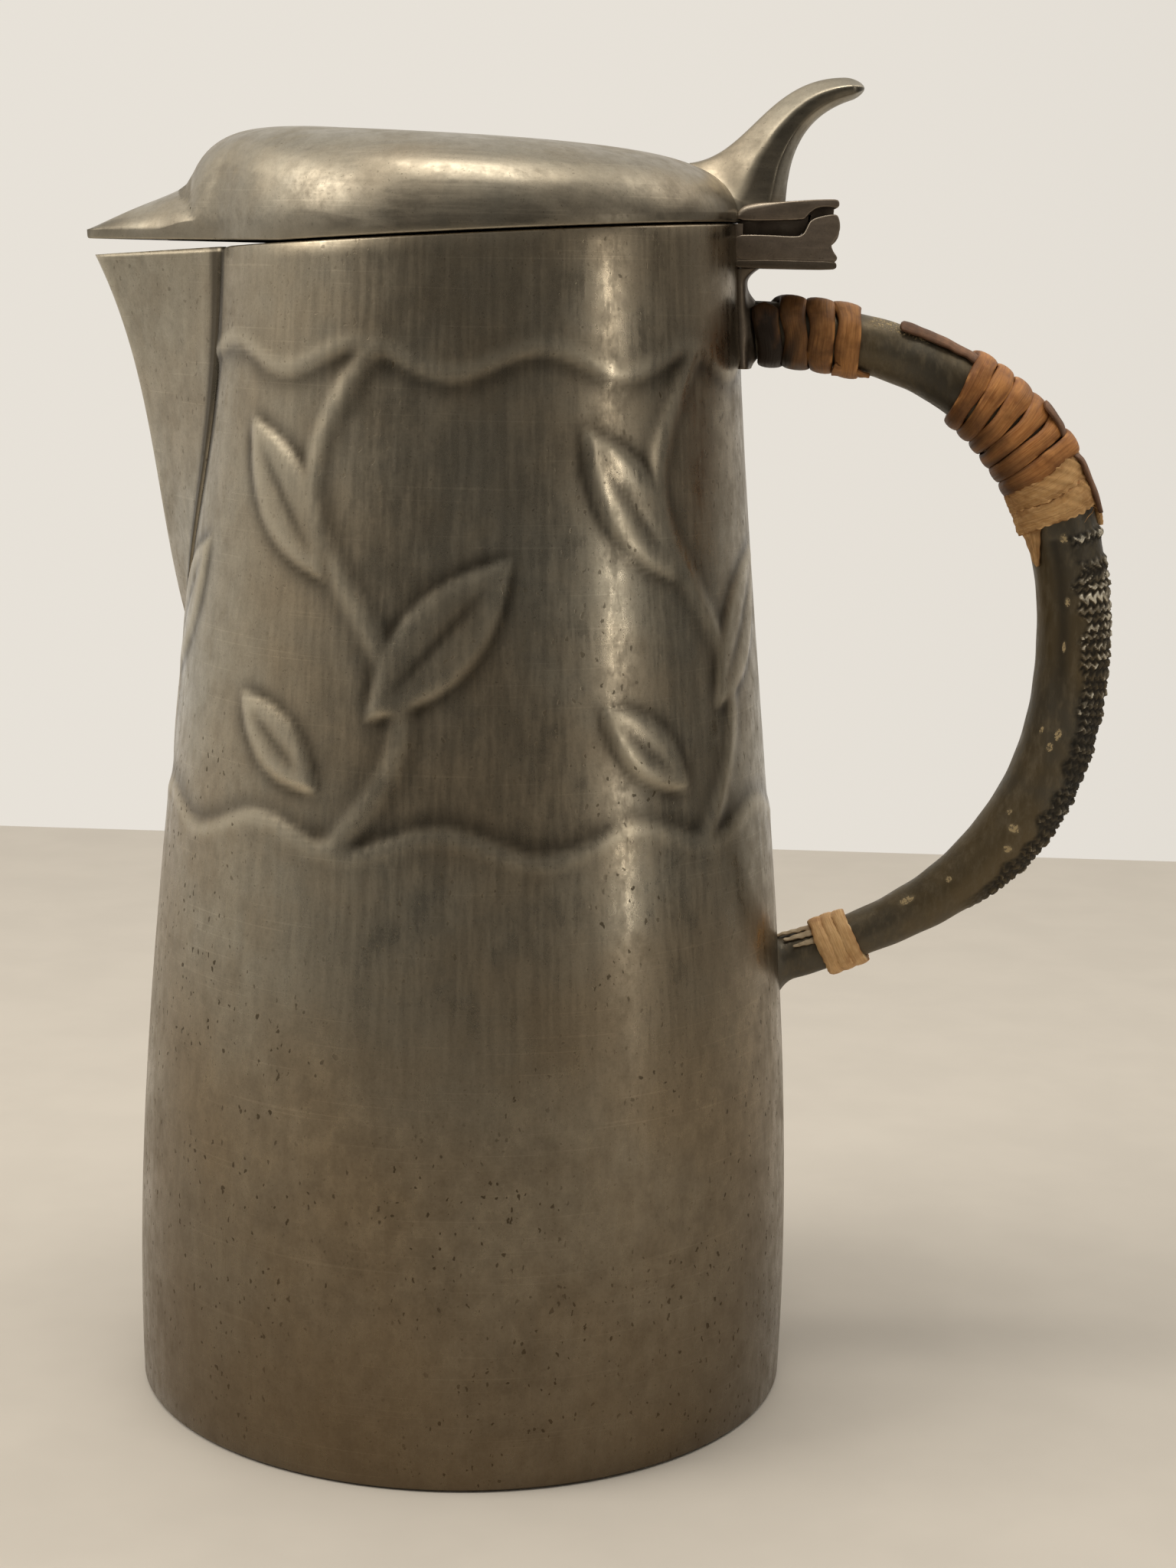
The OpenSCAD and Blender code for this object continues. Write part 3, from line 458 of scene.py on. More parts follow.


# wall as one closed grid: up the outside with its relief, over the rim, down the inside and back under
# the foot, with a cut-out behind the spout; the hollows of the relief are dark, the spout's seam has
# painted shade and the places round the handle are dark with stains and painted shadow
def bodyPart():
    g = bodyGrid
    lowZ = np.linspace(g.round, g.bandFrom, g.lowRows)
    bandZ = np.linspace(g.bandFrom, g.bandTo, g.bandRows + 1)[1:]
    topZ = np.linspace(g.bandTo, wall.height - g.round, g.topRows + 1)[1:]
    level = np.concatenate([[0, g.bevel], lowZ, bandZ, topZ, [wall.height - g.bevel, wall.height]])
    levels = len(level)
    inset = np.zeros(levels)
    inset[[0, -1]], inset[[1, -2]] = g.round, g.round * 0.3
    share = level / wall.height
    holeZ = lipZ - beak.drop * beak.holeEnd
    holeRow = int(np.argmin(np.abs(share - holeZ / rimZ(-wall.rim))))
    innerRows = np.concatenate([np.arange(levels - 1, holeRow - 1, -1), np.arange(holeRow - 4, 3, -4)])
    column = np.arange(g.columns) - g.columns // 2  # degrees from the spout

    def shell(rows):
        z = share[rows][:, None] * rimZ(-wall.rim * np.cos(np.radians(column)))
        t = np.clip((lipZ - z) / beak.drop, 0, beak.holeEnd)
        hole = np.degrees(np.arcsin((beakHalf(t) - beak.sheet) / wallR(z)))
        near, far, away = g.holeColumn, g.holeSpread, np.abs(column)
        beyond = hole + (far - hole) * (away - near) / (far - near)
        bent = np.where(away <= near, hole * away / near, beyond)
        return np.radians(np.where(away < far, np.sign(column) * bent, column)), z

    def placed(r, turn, z):
        return stacked(-r * np.cos(turn), -r * np.sin(turn), z)

    turn, z = shell(np.arange(levels))
    height = reliefHeight(turn, z)
    outside = placed(wallR(z) - inset[:, None] + height, turn, z)
    turnIn, zIn = shell(innerRows)
    inside = placed(wallR(zIn) - wall.thick + inset[innerRows][:, None], turnIn, zIn)
    foot = inside[-1] * [1, 1, 0]
    foot = foot * ((wall.foot - wall.thick) / np.linalg.norm(foot[:, :2], axis=1))[:, None]
    rings = np.concatenate([outside, inside, foot[None] + [0, 0, wall.base], foot[None]])

    rows, cols = rings.shape[:2]
    quads = gridQuads(rows, cols, wrapRows=True, wrapCols=True)
    r0, r1 = holeRow, 2 * levels - 1 - holeRow
    row, col = quads[:, 0] // cols, quads[:, 0] % cols
    left, right = g.columns // 2 - g.holeColumn, g.columns // 2 + g.holeColumn
    cut = (row >= r0) & (row < r1) & (col >= left) & (col < right)
    k = np.arange(left, right + 1)
    i = np.arange((r1 - r0) // 2 + 1)
    jamb = strip((r0 + i) * cols, (r1 - i) * cols)
    faces = [quads[~cut], strip(r0 * cols + k, r1 * cols + k), (jamb + left)[:, ::-1], jamb + right]

    soft = height
    for axis in (0, 1):
        soft = sum(np.roll(soft, s, axis) for s in range(-g.blur, g.blur + 1)) / (2 * g.blur + 1)
    degrees = np.abs(np.degrees(turn))
    half = beakHalf(np.clip((lipZ - z) / beak.drop, 0, 1))
    seam = degrees - np.degrees(np.arcsin(np.clip(half / wallR(z), 0, 1)))
    # painted shade beside the spout's seam, counted in degrees, and a dark patch under the hinge
    inSpout = (z > lipZ - beak.drop) & (seam < g.seamEnd)
    patina = np.clip((soft - height) / g.dent, 0, 1)
    patina = patina + np.where(inSpout, smooth((g.seamFrom - seam) / g.seamFade), 0)
    stain = smooth((degrees - g.hingeFrom) / g.hingeFade) * smooth((z - g.hingeLow) / g.hingeRise)
    stain = stain * g.hingeStain
    # a dark stain with painted shadow round each root of the handle
    fromHandle = (np.pi - np.abs(turn)) * wallR(z)
    for rootZ, size, deep in g.stains:
        away = (fromHandle / size) ** 2 + ((z - rootZ) / size) ** 2
        stain = np.maximum(stain, deep * np.exp(-(away**1.5)))
    blank = np.zeros((rows - levels, cols))
    patina = np.clip(np.concatenate([patina + stain, blank]), 0, 1)
    worn = np.concatenate([np.clip((height - soft) / g.bump, 0, 1), blank])
    return dict(points=rings.reshape(-1, 3), faces=faces, patina=patina, worn=worn)


makePiece("flagonBody", bodyPart(), bodyPewter, "body_shell")

basePlate = Values(room=0.05, edge=0.5, flat=(0.01, 18, 40), count=120)


# base: a flat turned disc with bevelled edges
def basePart():
    edge = basePlate.edge
    full = wall.foot - wall.thick - basePlate.room
    low = [(r, 0.0) for r in basePlate.flat]
    low = np.array(low + [(full - edge, 0.0), (full - edge * 0.3, edge * 0.3), (full, edge)])
    high = low[::-1] * [1, -1] + [0, wall.base]
    return tube(stacked(*spun(np.concatenate([low, high]), basePlate.count)))


makePiece("footPlate", basePart(), innerPewter, "base_plate")
print("body made")


# Spout

# seam: places across a side, close together, from the seam outwards; then even steps from sideFrom to the
# nose
spoutGrid = Values(rows=72, side=12, sideFrom=0.16, arc=9, end=0.985, seam=(0.0, 0.012, 0.03, 0.06, 0.1))


# spout: level sections of a beak with flat sides and a round nose, from the lip down to its point, with
# an inside at one sheet's depth; sections near the lip lean into the rim plane
def spoutPart():
    g = spoutGrid
    t = (np.linspace(0, 1, g.rows) * g.end)[:, None]
    z = lipZ - beak.drop * t
    r = wallR(z)
    half = np.maximum(0.5, beakHalf(t))
    nose = r + beakOut(t)
    seam = np.sqrt(r**2 - half**2)
    slant = np.arctan2(half, nose - seam)
    tip = np.minimum(np.minimum(beak.nose, half / 2), (nose - seam) / 3)
    swing = np.linspace(-1, 1, g.arc)[None, :] * (np.pi / 2 - slant)
    arcX, arcY = nose - tip + tip * np.cos(swing), tip * np.sin(swing)
    k = np.concatenate([g.seam, np.linspace(g.sideFrom, 1, g.side, endpoint=False)])[None, :]
    sideX, sideY = seam + (arcX[:, :1] - seam) * k, -half + (arcY[:, :1] + half) * k
    outX = np.concatenate([sideX, arcX, sideX[:, ::-1]], 1)
    outY = np.concatenate([sideY, arcY, -sideY[:, ::-1]], 1)
    inHalf = np.maximum(0.2, half - beak.sheet)
    inSeam = np.sqrt(r**2 - inHalf**2)
    inNose = np.maximum(nose - 1.3 * beak.sheet, r - 0.5)
    n = outX.shape[1]
    v = np.linspace(-1, 1, n)[None, :]
    root = np.zeros(n)
    root[[0, -1]] = beak.sink

    def placed(x, y):
        lean = z + (rimZ(-x) - lipZ) * np.clip(1 - 2 * t, 0, 1)
        return stacked(root - x, -y, lean).reshape(-1, 3)

    inX = inNose + (inSeam - inNose) * np.abs(v)
    points = np.concatenate([placed(outX, outY), placed(inX, inHalf * v)])
    inner = g.rows * n  # how far on the inside's numbers are
    c = np.arange(n)
    i = np.arange(g.rows) * n
    lip, point = strip(c, inner + c), strip(inner - n + c, 2 * inner - n + c)[:, ::-1]
    nearEdge, farEdge = strip(i, inner + i)[:, ::-1], strip(i, inner + i) + n - 1
    quads = gridQuads(g.rows, n)
    across = np.concatenate([k, np.full((1, g.arc), 1.5), k[:, ::-1]], 1) + 0 * t
    # painted shade in the groove beside the seam, rubbed on the seam's edge, the nose and the lip
    seamGrooveShade = smooth((0.12 - across) / 0.06) * (across > 0.005)
    rubbed = 0.7 * (across < 0.005) + 0.45 * (across > 1) + 0.5 * (np.arange(g.rows)[:, None] < 1)
    return dict(
        points=points, faces=[quads[:, ::-1], quads + inner, lip, point, nearEdge, farEdge],
        patina=np.concatenate([seamGrooveShade.ravel(), np.full(inner, 0.45)]),
        worn=np.concatenate([rubbed.ravel(), np.zeros(inner)]))


makePiece("beakSpout", spoutPart(), bodyPewter, "spout")
print("spout made")


# Lid

cover = Values(
    lip=0.3, beakLip=1.0, dome=16.3, fall=math.radians(6), front=4.3, power=5.0, frontSquare=7.3,
    shoulder=0.42, tipH=4.4, rise=math.radians(17), lift=29.0, liftSlope=math.radians(3.7), thick=1.8,
    edge=1.5, rimW=3.0, solid=12.0, gap=0.3, blend=3.0, softRounds=6, beakSteps=26, roundSteps=90,
    round=0.35, rimPower=28, rimSoft=0.4, crown=0.6, crownPast=3, full=0.62, roofFrom=15, roofRun=22,
    blendFrom=12, blendRun=14, blendOut=6, stain=0.45, stainTop=4.5, stainFade=3,
    hollowSteps=(0.04, 0.2, 0.4, 0.6, 0.75, 0.86, 0.93, 0.97, 1.0),
)
coverR = wall.rim + cover.lip
coverTip = wall.rim + beak.reach + cover.beakLip
beakTurn = math.asin((beak.half + cover.beakLip) / coverR)
tipHalf = beak.nose + cover.beakLip / 2
tipTurn = math.atan2(tipHalf, coverTip)
beakFoot = (coverR * math.cos(beakTurn), coverR * math.sin(beakTurn))


# points of the rim plane, x counted towards the spout, put into the part's frame
def onRim(x, y, z):
    c, s = math.cos(wall.slope), math.sin(wall.slope)
    return stacked(-x * c - z * s, -y, wall.height - x * s + z * c)


# distance from the axis to the lid's edge: a circle, then straight sides to the blunt tip of the beak
def coverReach(turn):
    a = np.abs(turn)
    dx, dy = np.cos(a), np.sin(a)
    sx, sy = coverTip - beakFoot[0], tipHalf - beakFoot[1]
    u = -(beakFoot[0] * dy - beakFoot[1] * dx) / (sx * dy - sy * dx)
    side = np.hypot(beakFoot[0] + u * sx, beakFoot[1] + u * sy)
    return np.where(a >= beakTurn, coverR, np.where(a <= tipTurn, coverTip / np.cos(a), side))


# height of the lid's underside, which lifts towards the tip of the beak
def coverUnder(x):
    return cover.gap + np.maximum(0, x - cover.lift) * math.tan(cover.liftSlope)


# height of the lid's outside: a flattened dome that falls towards the handle and swells over the beak's
# root, squarer in front and rounded off where the edge cuts it, with a smooth maximum of it and the
# rounded roof of the beak
def coverTop(x, y):
    turn = np.abs(np.arctan2(y, x))
    away = np.hypot(x, y)
    ahead = np.maximum(0, np.cos(turn))
    swell = cover.front * ahead**4
    power = cover.power + (cover.frontSquare - cover.power) * ahead**2
    low = coverUnder(x) + cover.edge
    peak = cover.dome + x * math.tan(cover.fall)
    # last: where the dome is down to the edge's height
    last = (1 - (low / peak) ** (1 / cover.shoulder)) ** (1 / power)
    u = np.minimum(1, away / (coverR + swell)) * last
    rim = (1 - np.minimum(1, away / coverReach(turn)) ** cover.rimPower) ** (cover.rimSoft * smooth(swell))
    dome = low + (peak * (1 - u**power) ** cover.shoulder - low) * rim
    k = (x - beakFoot[0]) / (coverTip - beakFoot[0])
    half = np.maximum(tipHalf, beakFoot[1] + (tipHalf - beakFoot[1]) * k)
    fromTip = coverTip - x
    ridge = cover.tipH + np.minimum(fromTip, beak.reach) * math.tan(cover.rise)
    ridge = ridge + cover.crown * np.sin(np.pi * np.clip(fromTip / (beak.reach + cover.crownPast), 0, 1))
    arch = (1 - np.minimum(1, np.abs(y) / half) ** 2) ** cover.full
    roof = low + (ridge - low) * smooth((x - cover.roofFrom) / cover.roofRun) * arch
    inside = smooth(1 - (away - coverR - swell) / cover.blendOut)
    blend = cover.blend * smooth((x - cover.blendFrom) / cover.blendRun) * inside
    both = (dome + roof + np.sqrt((dome - roof) ** 2 + blend**2)) / 2
    return np.maximum(low, both)


# lid: rings of the hollow underneath from its middle to the edge, and of the outside back to the middle
def lidPart():
    half = np.concatenate([
        np.linspace(tipTurn, beakTurn, cover.beakSteps + 1),
        np.linspace(beakTurn, np.pi, cover.roundSteps + 1)[1:]])
    turn = np.concatenate([half, -half[-2::-1]])
    cos, sin = np.cos(turn), np.sin(turn)
    sharp = coverReach(turn)
    soft = sharp
    for _ in range(cover.softRounds):
        soft = (np.roll(soft, 1) + 2 * soft + np.roll(soft, -1)) / 4
    reach = sharp + (soft - sharp) * smooth((np.abs(turn) / beakTurn - 0.75) / 0.15)
    rim = reach - cover.rimW
    tip = coverTip - cover.solid
    hollow = np.where(cos * rim > tip, tip / np.maximum(0.1, cos), rim)

    def ring(r, z):
        return onRim(r * cos, r * sin, z)

    rings = []
    for k in cover.hollowSteps:
        x, y = k * hollow * cos, k * hollow * sin
        rings.append(ring(k * hollow, np.maximum(coverUnder(x) + 0.5, coverTop(x, y) - cover.thick)))
    rings.append(ring(hollow, coverUnder(hollow * cos)))
    inner = len(rings)
    e = cover.round
    for back, up in ((e, 0.0), (e * 0.3, e * 0.3), (0.0, e)):
        rings.append(ring(reach - back, coverUnder(reach * cos) + up))
    # steps inwards, close together at the edge and then even
    steps = np.concatenate([1 - 0.06 * np.linspace(0, 1, 15) ** 2.4, np.linspace(0.925, 0.06, 58), [0.03]])
    lift = []
    for k in steps:
        x, y = k * sharp * cos, k * sharp * sin
        height = coverTop(x, y)
        rings.append(ring(k * reach, height))
        lift.append(height - coverUnder(x))
    # dark near the edge, in patches, and rubbed on the edge itself and on the shoulder above it
    grid = np.stack(rings)
    patina, worn = np.zeros(grid.shape[:2]), np.zeros(grid.shape[:2])
    smudge = np.clip(0.5 + 0.7 * waver(turn, 0.4, 61), 0.15, 1)
    patina[:inner] = patina[inner + 2] = 0.5
    patina[inner + 3:] = cover.stain * smooth((cover.stainTop - np.stack(lift)) / cover.stainFade) * smudge
    worn[inner + 1:inner + 3] = 0.4
    worn[inner + 3:][np.abs(steps - 0.93) < 0.03] = 0.2
    return tube(grid, patina=patina, worn=worn)


makePiece("domedLid", lidPart(), lidPewter, "lid", "lid")
print("lid made")


# Thumbpiece and hinge

# smooth closed outline: more points along each side, drawn a little towards the neighbours
def eased(outline, steps=4, rounds=2):
    line = np.array(outline, float)
    k = np.arange(steps)[None, :, None] / steps
    line = (line[:, None] * (1 - k) + np.roll(line, -1, 0)[:, None] * k).reshape(-1, 2)
    for _ in range(rounds):
        line = (np.roll(line, 1, 0) + 2 * line + np.roll(line, -1, 0)) / 4
    return line


# front, back: curves in the handle's plane, away from the axis and up; sink: the foot's start in the lid
horn = Values(
    front=((36.5, 10.6), (47.5, 11.2), (50.5, 26.0), (66.2, 22.9)),
    back=((52.7, 3.4), (53.3, 9.0), (54.5, 18.2), (66.5, 20.0)),
    sink=((39.0, 4.0), (52.7, 1.2)), wide=(7.0, 3.6, 3.3, 4.2), footWide=7.6, footRows=6, sag=3.4,
    sagTo=0.3, roundFrom=0.93, steps=8, rounds=5, onLid=43, behindLid=1.6,
    section=((-1.0, 0.0), (-0.97, 0.22), (-0.55, 0.64), (-0.14, 1.0), (0.25, 0.97), (0.58, 0.9),
             (0.72, 0.7), (0.9, 0.35), (1.0, 0.0)),
)


# horn: sections between a front and a back curve in the handle's plane, each with a crest and two facets
# on either side; the foot widens as it runs down into the lid's sheet, and the tip is rounded off as an
# ellipse
def hornPart():
    tip = 0.9 + 0.1 * np.sin(np.linspace(0, np.pi / 2, 26))[1:]
    t = np.concatenate([np.linspace(0, 0.9, 64), tip])[:, None]
    front, back = (bez(*[np.array(p) for p in curve], t) for curve in (horn.front, horn.back))
    past = np.clip((t - horn.roundFrom) / (1 - horn.roundFrom), 0, 1)
    end = np.sqrt(np.clip(1 - past**2, 0.001, 1))
    k = np.linspace(0, 1, horn.footRows, endpoint=False)[:, None]
    front, back = (
        np.concatenate([low + (curve[0] - low) * k, curve])
        for low, curve in zip(np.array(horn.sink), (front, back)))
    foot = horn.wide[0] + (horn.footWide - horn.wide[0]) * (1 - k**2)
    wide = np.concatenate([foot, bez(*horn.wide, t) * end])
    middle, half = (front + back) / 2, (back - front) / 2
    half[len(k):] *= end
    near = np.array(horn.section)
    loop = eased(np.concatenate([near, near[-2:0:-1] * [1, -1]]), horn.steps, horn.rounds)
    u, v = loop[:, 0][None, :], loop[:, 1][None, :]
    x = middle[:, :1] + half[:, :1] * u
    z = middle[:, 1:] + half[:, 1:] * u
    z = z - horn.sag * v**2 * smooth(1 - np.concatenate([0 * k, t]) / horn.sagTo)
    inSheet = coverTop(-x, wide * v) - cover.thick / 2
    z = np.maximum(z, np.where(np.hypot(x, wide * v) < horn.onLid, inSheet, horn.behindLid))
    # a pale line painted along the crest as a highlight, and painted shade on the facet behind it through
    # the patina mark
    crestHighlight = bell(u + 0.15, 0.12) * (np.abs(v) > 0.8)
    stain = smooth((u + 0.06) / 0.12) * smooth((0.7 - u) / 0.12)
    return tube(onRim(-x, wide * v, z), patina=0.65 * stain, worn=0.55 * crestHighlight)


makePiece("hornThumbpiece", hornPart(), lidPewter, "thumbpiece", "lid")

hinge = Values(
    out=14.0, drop=1.8, width=16.0, knuckle=2.8, knuckleW=6.4, gap=0.3, pin=1.1, pinRoom=0.06, edge=0.25)
axisX = (wall.rim + hinge.out) * math.cos(wall.slope)
axisZ = rimZ(axisX) - hinge.drop / math.cos(wall.slope)
halfW = hinge.width / 2
halfK = hinge.knuckleW / 2
slotW = halfK + hinge.gap


# an outline drawn upright, x away from the axis
def asIs(x, y, z):
    return stacked(x, y, z)


# an outline drawn in the rim plane, x away from the spout
def leafPlace(x, y, z):
    return onRim(-x, y, z)


# outline in the handle's plane given a width across it, with rounded long edges: near each end the
# outline is drawn in by the edge's depth, which may differ from point to point
def barPart(outline, y0, y1, edge, place, worn=0.35, patina=0.0):
    line = np.array(outline, float)
    edge = edge + np.zeros(len(line))
    ahead, behind = np.roll(line, -1, 0) - line, line - np.roll(line, 1, 0)
    ahead /= np.linalg.norm(ahead, axis=1)[:, None]
    behind /= np.linalg.norm(behind, axis=1)[:, None]
    inward = stacked(-(ahead + behind)[:, 1], (ahead + behind)[:, 0])
    inward /= np.maximum(0.3, np.linalg.norm(inward, axis=1))[:, None]
    rounds = ((1.0, 0.0), (0.55, 0.12), (0.25, 0.35), (0.0, 1.0))
    rings = []
    for end, way, steps in ((y0, 1, rounds), (y1, -1, rounds[::-1])):
        for back, along in steps:
            p = line + inward * (edge * back)[:, None]
            rings.append(place(p[:, 0], end + way * edge * along, p[:, 1]))
    rows, cols = len(rings), len(line)
    loop = np.arange(cols)[None]
    faces = [gridQuads(rows, cols, wrapCols=True), loop[:, ::-1], loop + (rows - 1) * cols]
    if place is asIs:  # the other placing mirrors the outline
        faces = [group[:, ::-1] for group in faces]
    rubbed = np.zeros((rows, cols))
    rubbed[[1, 2, 5, 6]] = worn
    stain = np.full((rows * cols, 1), patina)
    return dict(points=np.concatenate(rings), faces=faces, patina=stain, worn=rubbed.reshape(-1, 1))


# a profile of radius and place across, carried round the hinge's axis
def onAxis(profile, count):
    x, z, y = spun(profile, count)
    return stacked(axisX + x, y, axisZ + z)


# knuckle: a ring round the pin with bevelled edges
def knucklePart(y0, y1, r, hole):
    e = hinge.edge
    bevel = ((r - e, y0), (r - e * 0.3, y0 + e * 0.3), (r, y0 + e))
    path = bevel + tuple((radius, y0 + y1 - y) for radius, y in bevel[::-1]) + ((hole, y1), (hole, y0))
    points = onAxis(path, 48)
    rows, cols = points.shape[:2]
    quads = gridQuads(rows, cols, wrapRows=True, wrapCols=True)[:, ::-1]
    blank = np.zeros((rows * cols, 1))
    return dict(points=points.reshape(-1, 3), faces=[quads], patina=blank + 0.2, worn=blank)


# outlines: the hood, the web and the tongue in the rim plane, the rest upright; pin: radius and place across
leaf = Values(
    hood=((44.1, 0.4), (55.2, 0.1), (55.7, 0.5), (56.3, 1.2), (57.3, 1.85), (58.5, 2.1), (60.0, 2.0),
          (60.8, 1.7), (61.3, 2.1), (61.3, 2.8), (60.9, 3.25), (57.0, 3.35), (52.5, 3.25), (47.9, 3.35),
          (45.4, 2.9), (44.1, 2.0)),
    web=((56.0, -0.6), (60.4, -0.2), (60.7, 2.6), (56.3, 2.6)),
    tongue=((44.4, 0.6), (44.4, 0.15), (45.2, 0.1), (45.2, -1.84), (54.6, -2.46), (56.2, -1.0),
            (56.8, 1.0)),
    seat=((43.3, 198.6), (60.3, 198.7), (60.9, 199.3), (61.0, 199.8), (60.3, 200.7), (59.9, 201.6),
          (60.2, 202.3), (60.9, 203.2), (61.3, 204.4), (61.2, 205.6), (60.8, 206.7), (59.9, 206.8),
          (58.5, 206.55), (57.1, 206.15), (56.2, 205.6), (55.75, 204.6), (55.3, 203.6), (54.6, 203.15),
          (53.3, 203.05), (49.4, 203.2), (43.3, 203.2)),
    short=((43.4, 198.6), (54.4, 198.6), (55.5, 199.6), (55.5, 202.6), (55.0, 203.1), (49.4, 203.15),
           (43.4, 203.15)),
    flange=((43.2, 197.65), (60.1, 197.65), (60.9, 198.0), (60.9, 198.7), (60.4, 199.1), (43.2, 199.1)),
    solder=((43.5, 198.8), (46.4, 198.8), (45.9, 201.6), (45.1, 203.3), (45.1, 205.0), (43.5, 204.9)),
    pin=((0.3, 8.3), (0.75, 8.24), (1.0, 8.12), (1.1, 7.9), (1.1, -6.5), (0.9, -6.7)),
)

hood = eased(leaf.hood)
hoodBevel = 0.75 * smooth((54 - hood[:, 0]) / 7) * smooth((hood[:, 1] - 1.0) / 0.8)
hoodRub = np.minimum(1, 0.15 + 1.3 * hoodBevel)
lidLeaf = joined([
    barPart(hood, -halfW, halfW, hinge.edge + hoodBevel, leafPlace, worn=hoodRub),
    barPart(leaf.web, -halfK, halfK, 0.2, leafPlace),
    barPart(leaf.tongue, -halfK, halfK, 0.1, leafPlace),
    knucklePart(-halfK, halfK, hinge.knuckle, hinge.pin + hinge.pinRoom)])
makePiece("hingeLidLeaf", lidLeaf, hingePewter, "hinge_lid_leaf", "lid")

seat = eased(leaf.seat)
# pale along the seat's upper edge: wear with a painted edge highlight
seatRubAndHighlight = 0.1 + 0.9 * smooth((seat[:, 1] - 202.6) / 0.4) * smooth((60.4 - seat[:, 0]) / 1.0)
bodyLeaf = joined([
    barPart(seat, -halfW, -slotW, hinge.edge, asIs, worn=seatRubAndHighlight),
    barPart(seat, slotW, halfW, hinge.edge, asIs, worn=seatRubAndHighlight),
    barPart(leaf.solder, 0.1 - halfW, halfW - 0.1, 0.15, asIs, worn=0.0),
    barPart(eased(leaf.short), -slotW - 0.2, slotW + 0.2, 0.1, asIs),
    # the flange's dark patina is painted shade standing for the groove between it and the seat
    barPart(eased(leaf.flange, 3, 1), -halfW - 0.15, halfW + 0.15, 0.2, asIs, worn=0.0, patina=0.6)])
makePiece("hingeBodyLeaf", bodyLeaf, hingePewter, "hinge_body_leaf")
pin = tube(onAxis(leaf.pin, 32), patina=0.2, worn=0.0)
makePiece("hingePin", pin, hingePewter, "hinge_pin")
print("hinge made")


# Handle

# each fleck: distance from the lower end, angle in degrees, half-length and half-breadth
grip = Values(
    top=187.4, mid=134.0, low=76.4, reach=104.5, upperPull=44.0, up=30.0, down=28.0, lowerPull=37.0,
    lowerRise=11.0, rootR=4.9, gripR=6.1, stubR=4.0, swellFrom=24.0, swellTo=56.0, thinFrom=56.0,
    thinTo=14.0, strap=1.2, burrEnd=32.0, burr=0.9, burrHalf=102.0, burrTaper=34.0, burrRow=1.75,
    burrTooth=13.5, zig=0.25, land=0.05, flare=1.3, flareL=3.0, rootStep=0.9, burrStep=0.29,
    stubStep=0.7, seed=7,
    flecks=(
        (66.0, 106.0, 0.7, 0.5), (68.5, 99.0, 0.9, 0.5), (68.5, 128.0, 0.6, 0.3), (50.0, 98.0, 0.7, 0.9),
        (46.5, 84.0, 0.6, 0.7), (52.0, 120.0, 0.6, 0.3), (35.0, 116.0, 0.5, 0.5), (26.5, 128.0, 1.2, 0.6),
        (92.0, 104.0, 0.7, 0.4), (84.0, 110.0, 0.8, 0.25), (103.0, 96.0, 0.6, 0.6), (60.0, 250.0, 0.7, 0.7),
        (40.0, 265.0, 0.9, 0.5)),
)
rootX = wallR(grip.top) + grip.strap / 2
stubX = wallR(grip.low) - wall.thick / 2


# centre line of the handle: two cubic curves that meet at the outermost point, with the length along them
def gripLine():
    t = np.linspace(0, 1, 400)
    x = np.concatenate([
        bez(rootX, rootX + grip.upperPull, grip.reach, grip.reach, t),
        bez(grip.reach, grip.reach, stubX + grip.lowerPull, stubX, t)[1:]])
    z = np.concatenate([
        bez(grip.top, grip.top, grip.mid + grip.up, grip.mid, t),
        bez(grip.mid, grip.mid - grip.down, grip.low + grip.lowerRise, grip.low, t)[1:]])
    s = np.concatenate([[0], np.cumsum(np.hypot(np.diff(x), np.diff(z)))])
    return s, x, z, np.gradient(x, s), np.gradient(z, s)


lineS, lineX, lineZ, lineDX, lineDZ = gripLine()
gripL = lineS[-1]


# radius of the core: it swells from the upper root to the grip and thins to the lower root
def coreR(s):
    swell = (grip.gripR - grip.rootR) * smooth((s - grip.swellFrom) / (grip.swellTo - grip.swellFrom))
    thin = (grip.gripR - grip.stubR) * smooth((s - gripL + grip.thinFrom) / (grip.thinFrom - grip.thinTo))
    return grip.rootR + swell - thin


# place at s along the core, at angle a (degrees) from its outer side towards the near side, and radius r;
# past either end the line runs on straight
def onCore(s, a, r):
    inside = np.clip(s, 0, gripL)
    past = s - inside
    x, z, dx, dz = (np.interp(inside, lineS, line) for line in (lineX, lineZ, lineDX, lineDZ))
    x, z = x + past * dx, z + past * dz
    c, w = np.cos(np.radians(a)), np.sin(np.radians(a))
    return stacked(x - r * c * dz, -r * w, z + r * c * dx)


# where each winding starts, how many turns it has, how far apart they are and at what angle it begins
turns = Values(
    gap=0.15, room=0.56, upperStart=0.4, upperTurns=3.4, upperPitch=4.6, upperA=40.0, middleStart=37.0,
    middleTurns=6.0, middlePitch=3.5, middleA=270.0, breakA=24.0, fibreTurns=2.2, fibrePitch=4.2,
    fibreT=0.8, topA=28.0, lowerStart=7.5, lowerTurns=1.6, lowerPitch=3.6, lowerA=270.0)
upperS = grip.strap / 2 + turns.upperStart + (turns.upperPitch - turns.room) / 2
middleS = turns.middleStart + (turns.middlePitch - turns.room) / 2
middleEndS = middleS + turns.middleTurns * turns.middlePitch
middleEndA = turns.middleA + 360 * turns.middleTurns
fibreS = middleEndS + turns.middlePitch * turns.breakA / 360
fibreEndS = fibreS + turns.fibreTurns * turns.fibrePitch
lowerS = gripL - turns.lowerStart - (turns.lowerPitch - turns.room) / 2
lowerS = lowerS - turns.lowerTurns * turns.lowerPitch
burrFrom, burrTo = fibreEndS + 1.2, gripL - grip.burrEnd


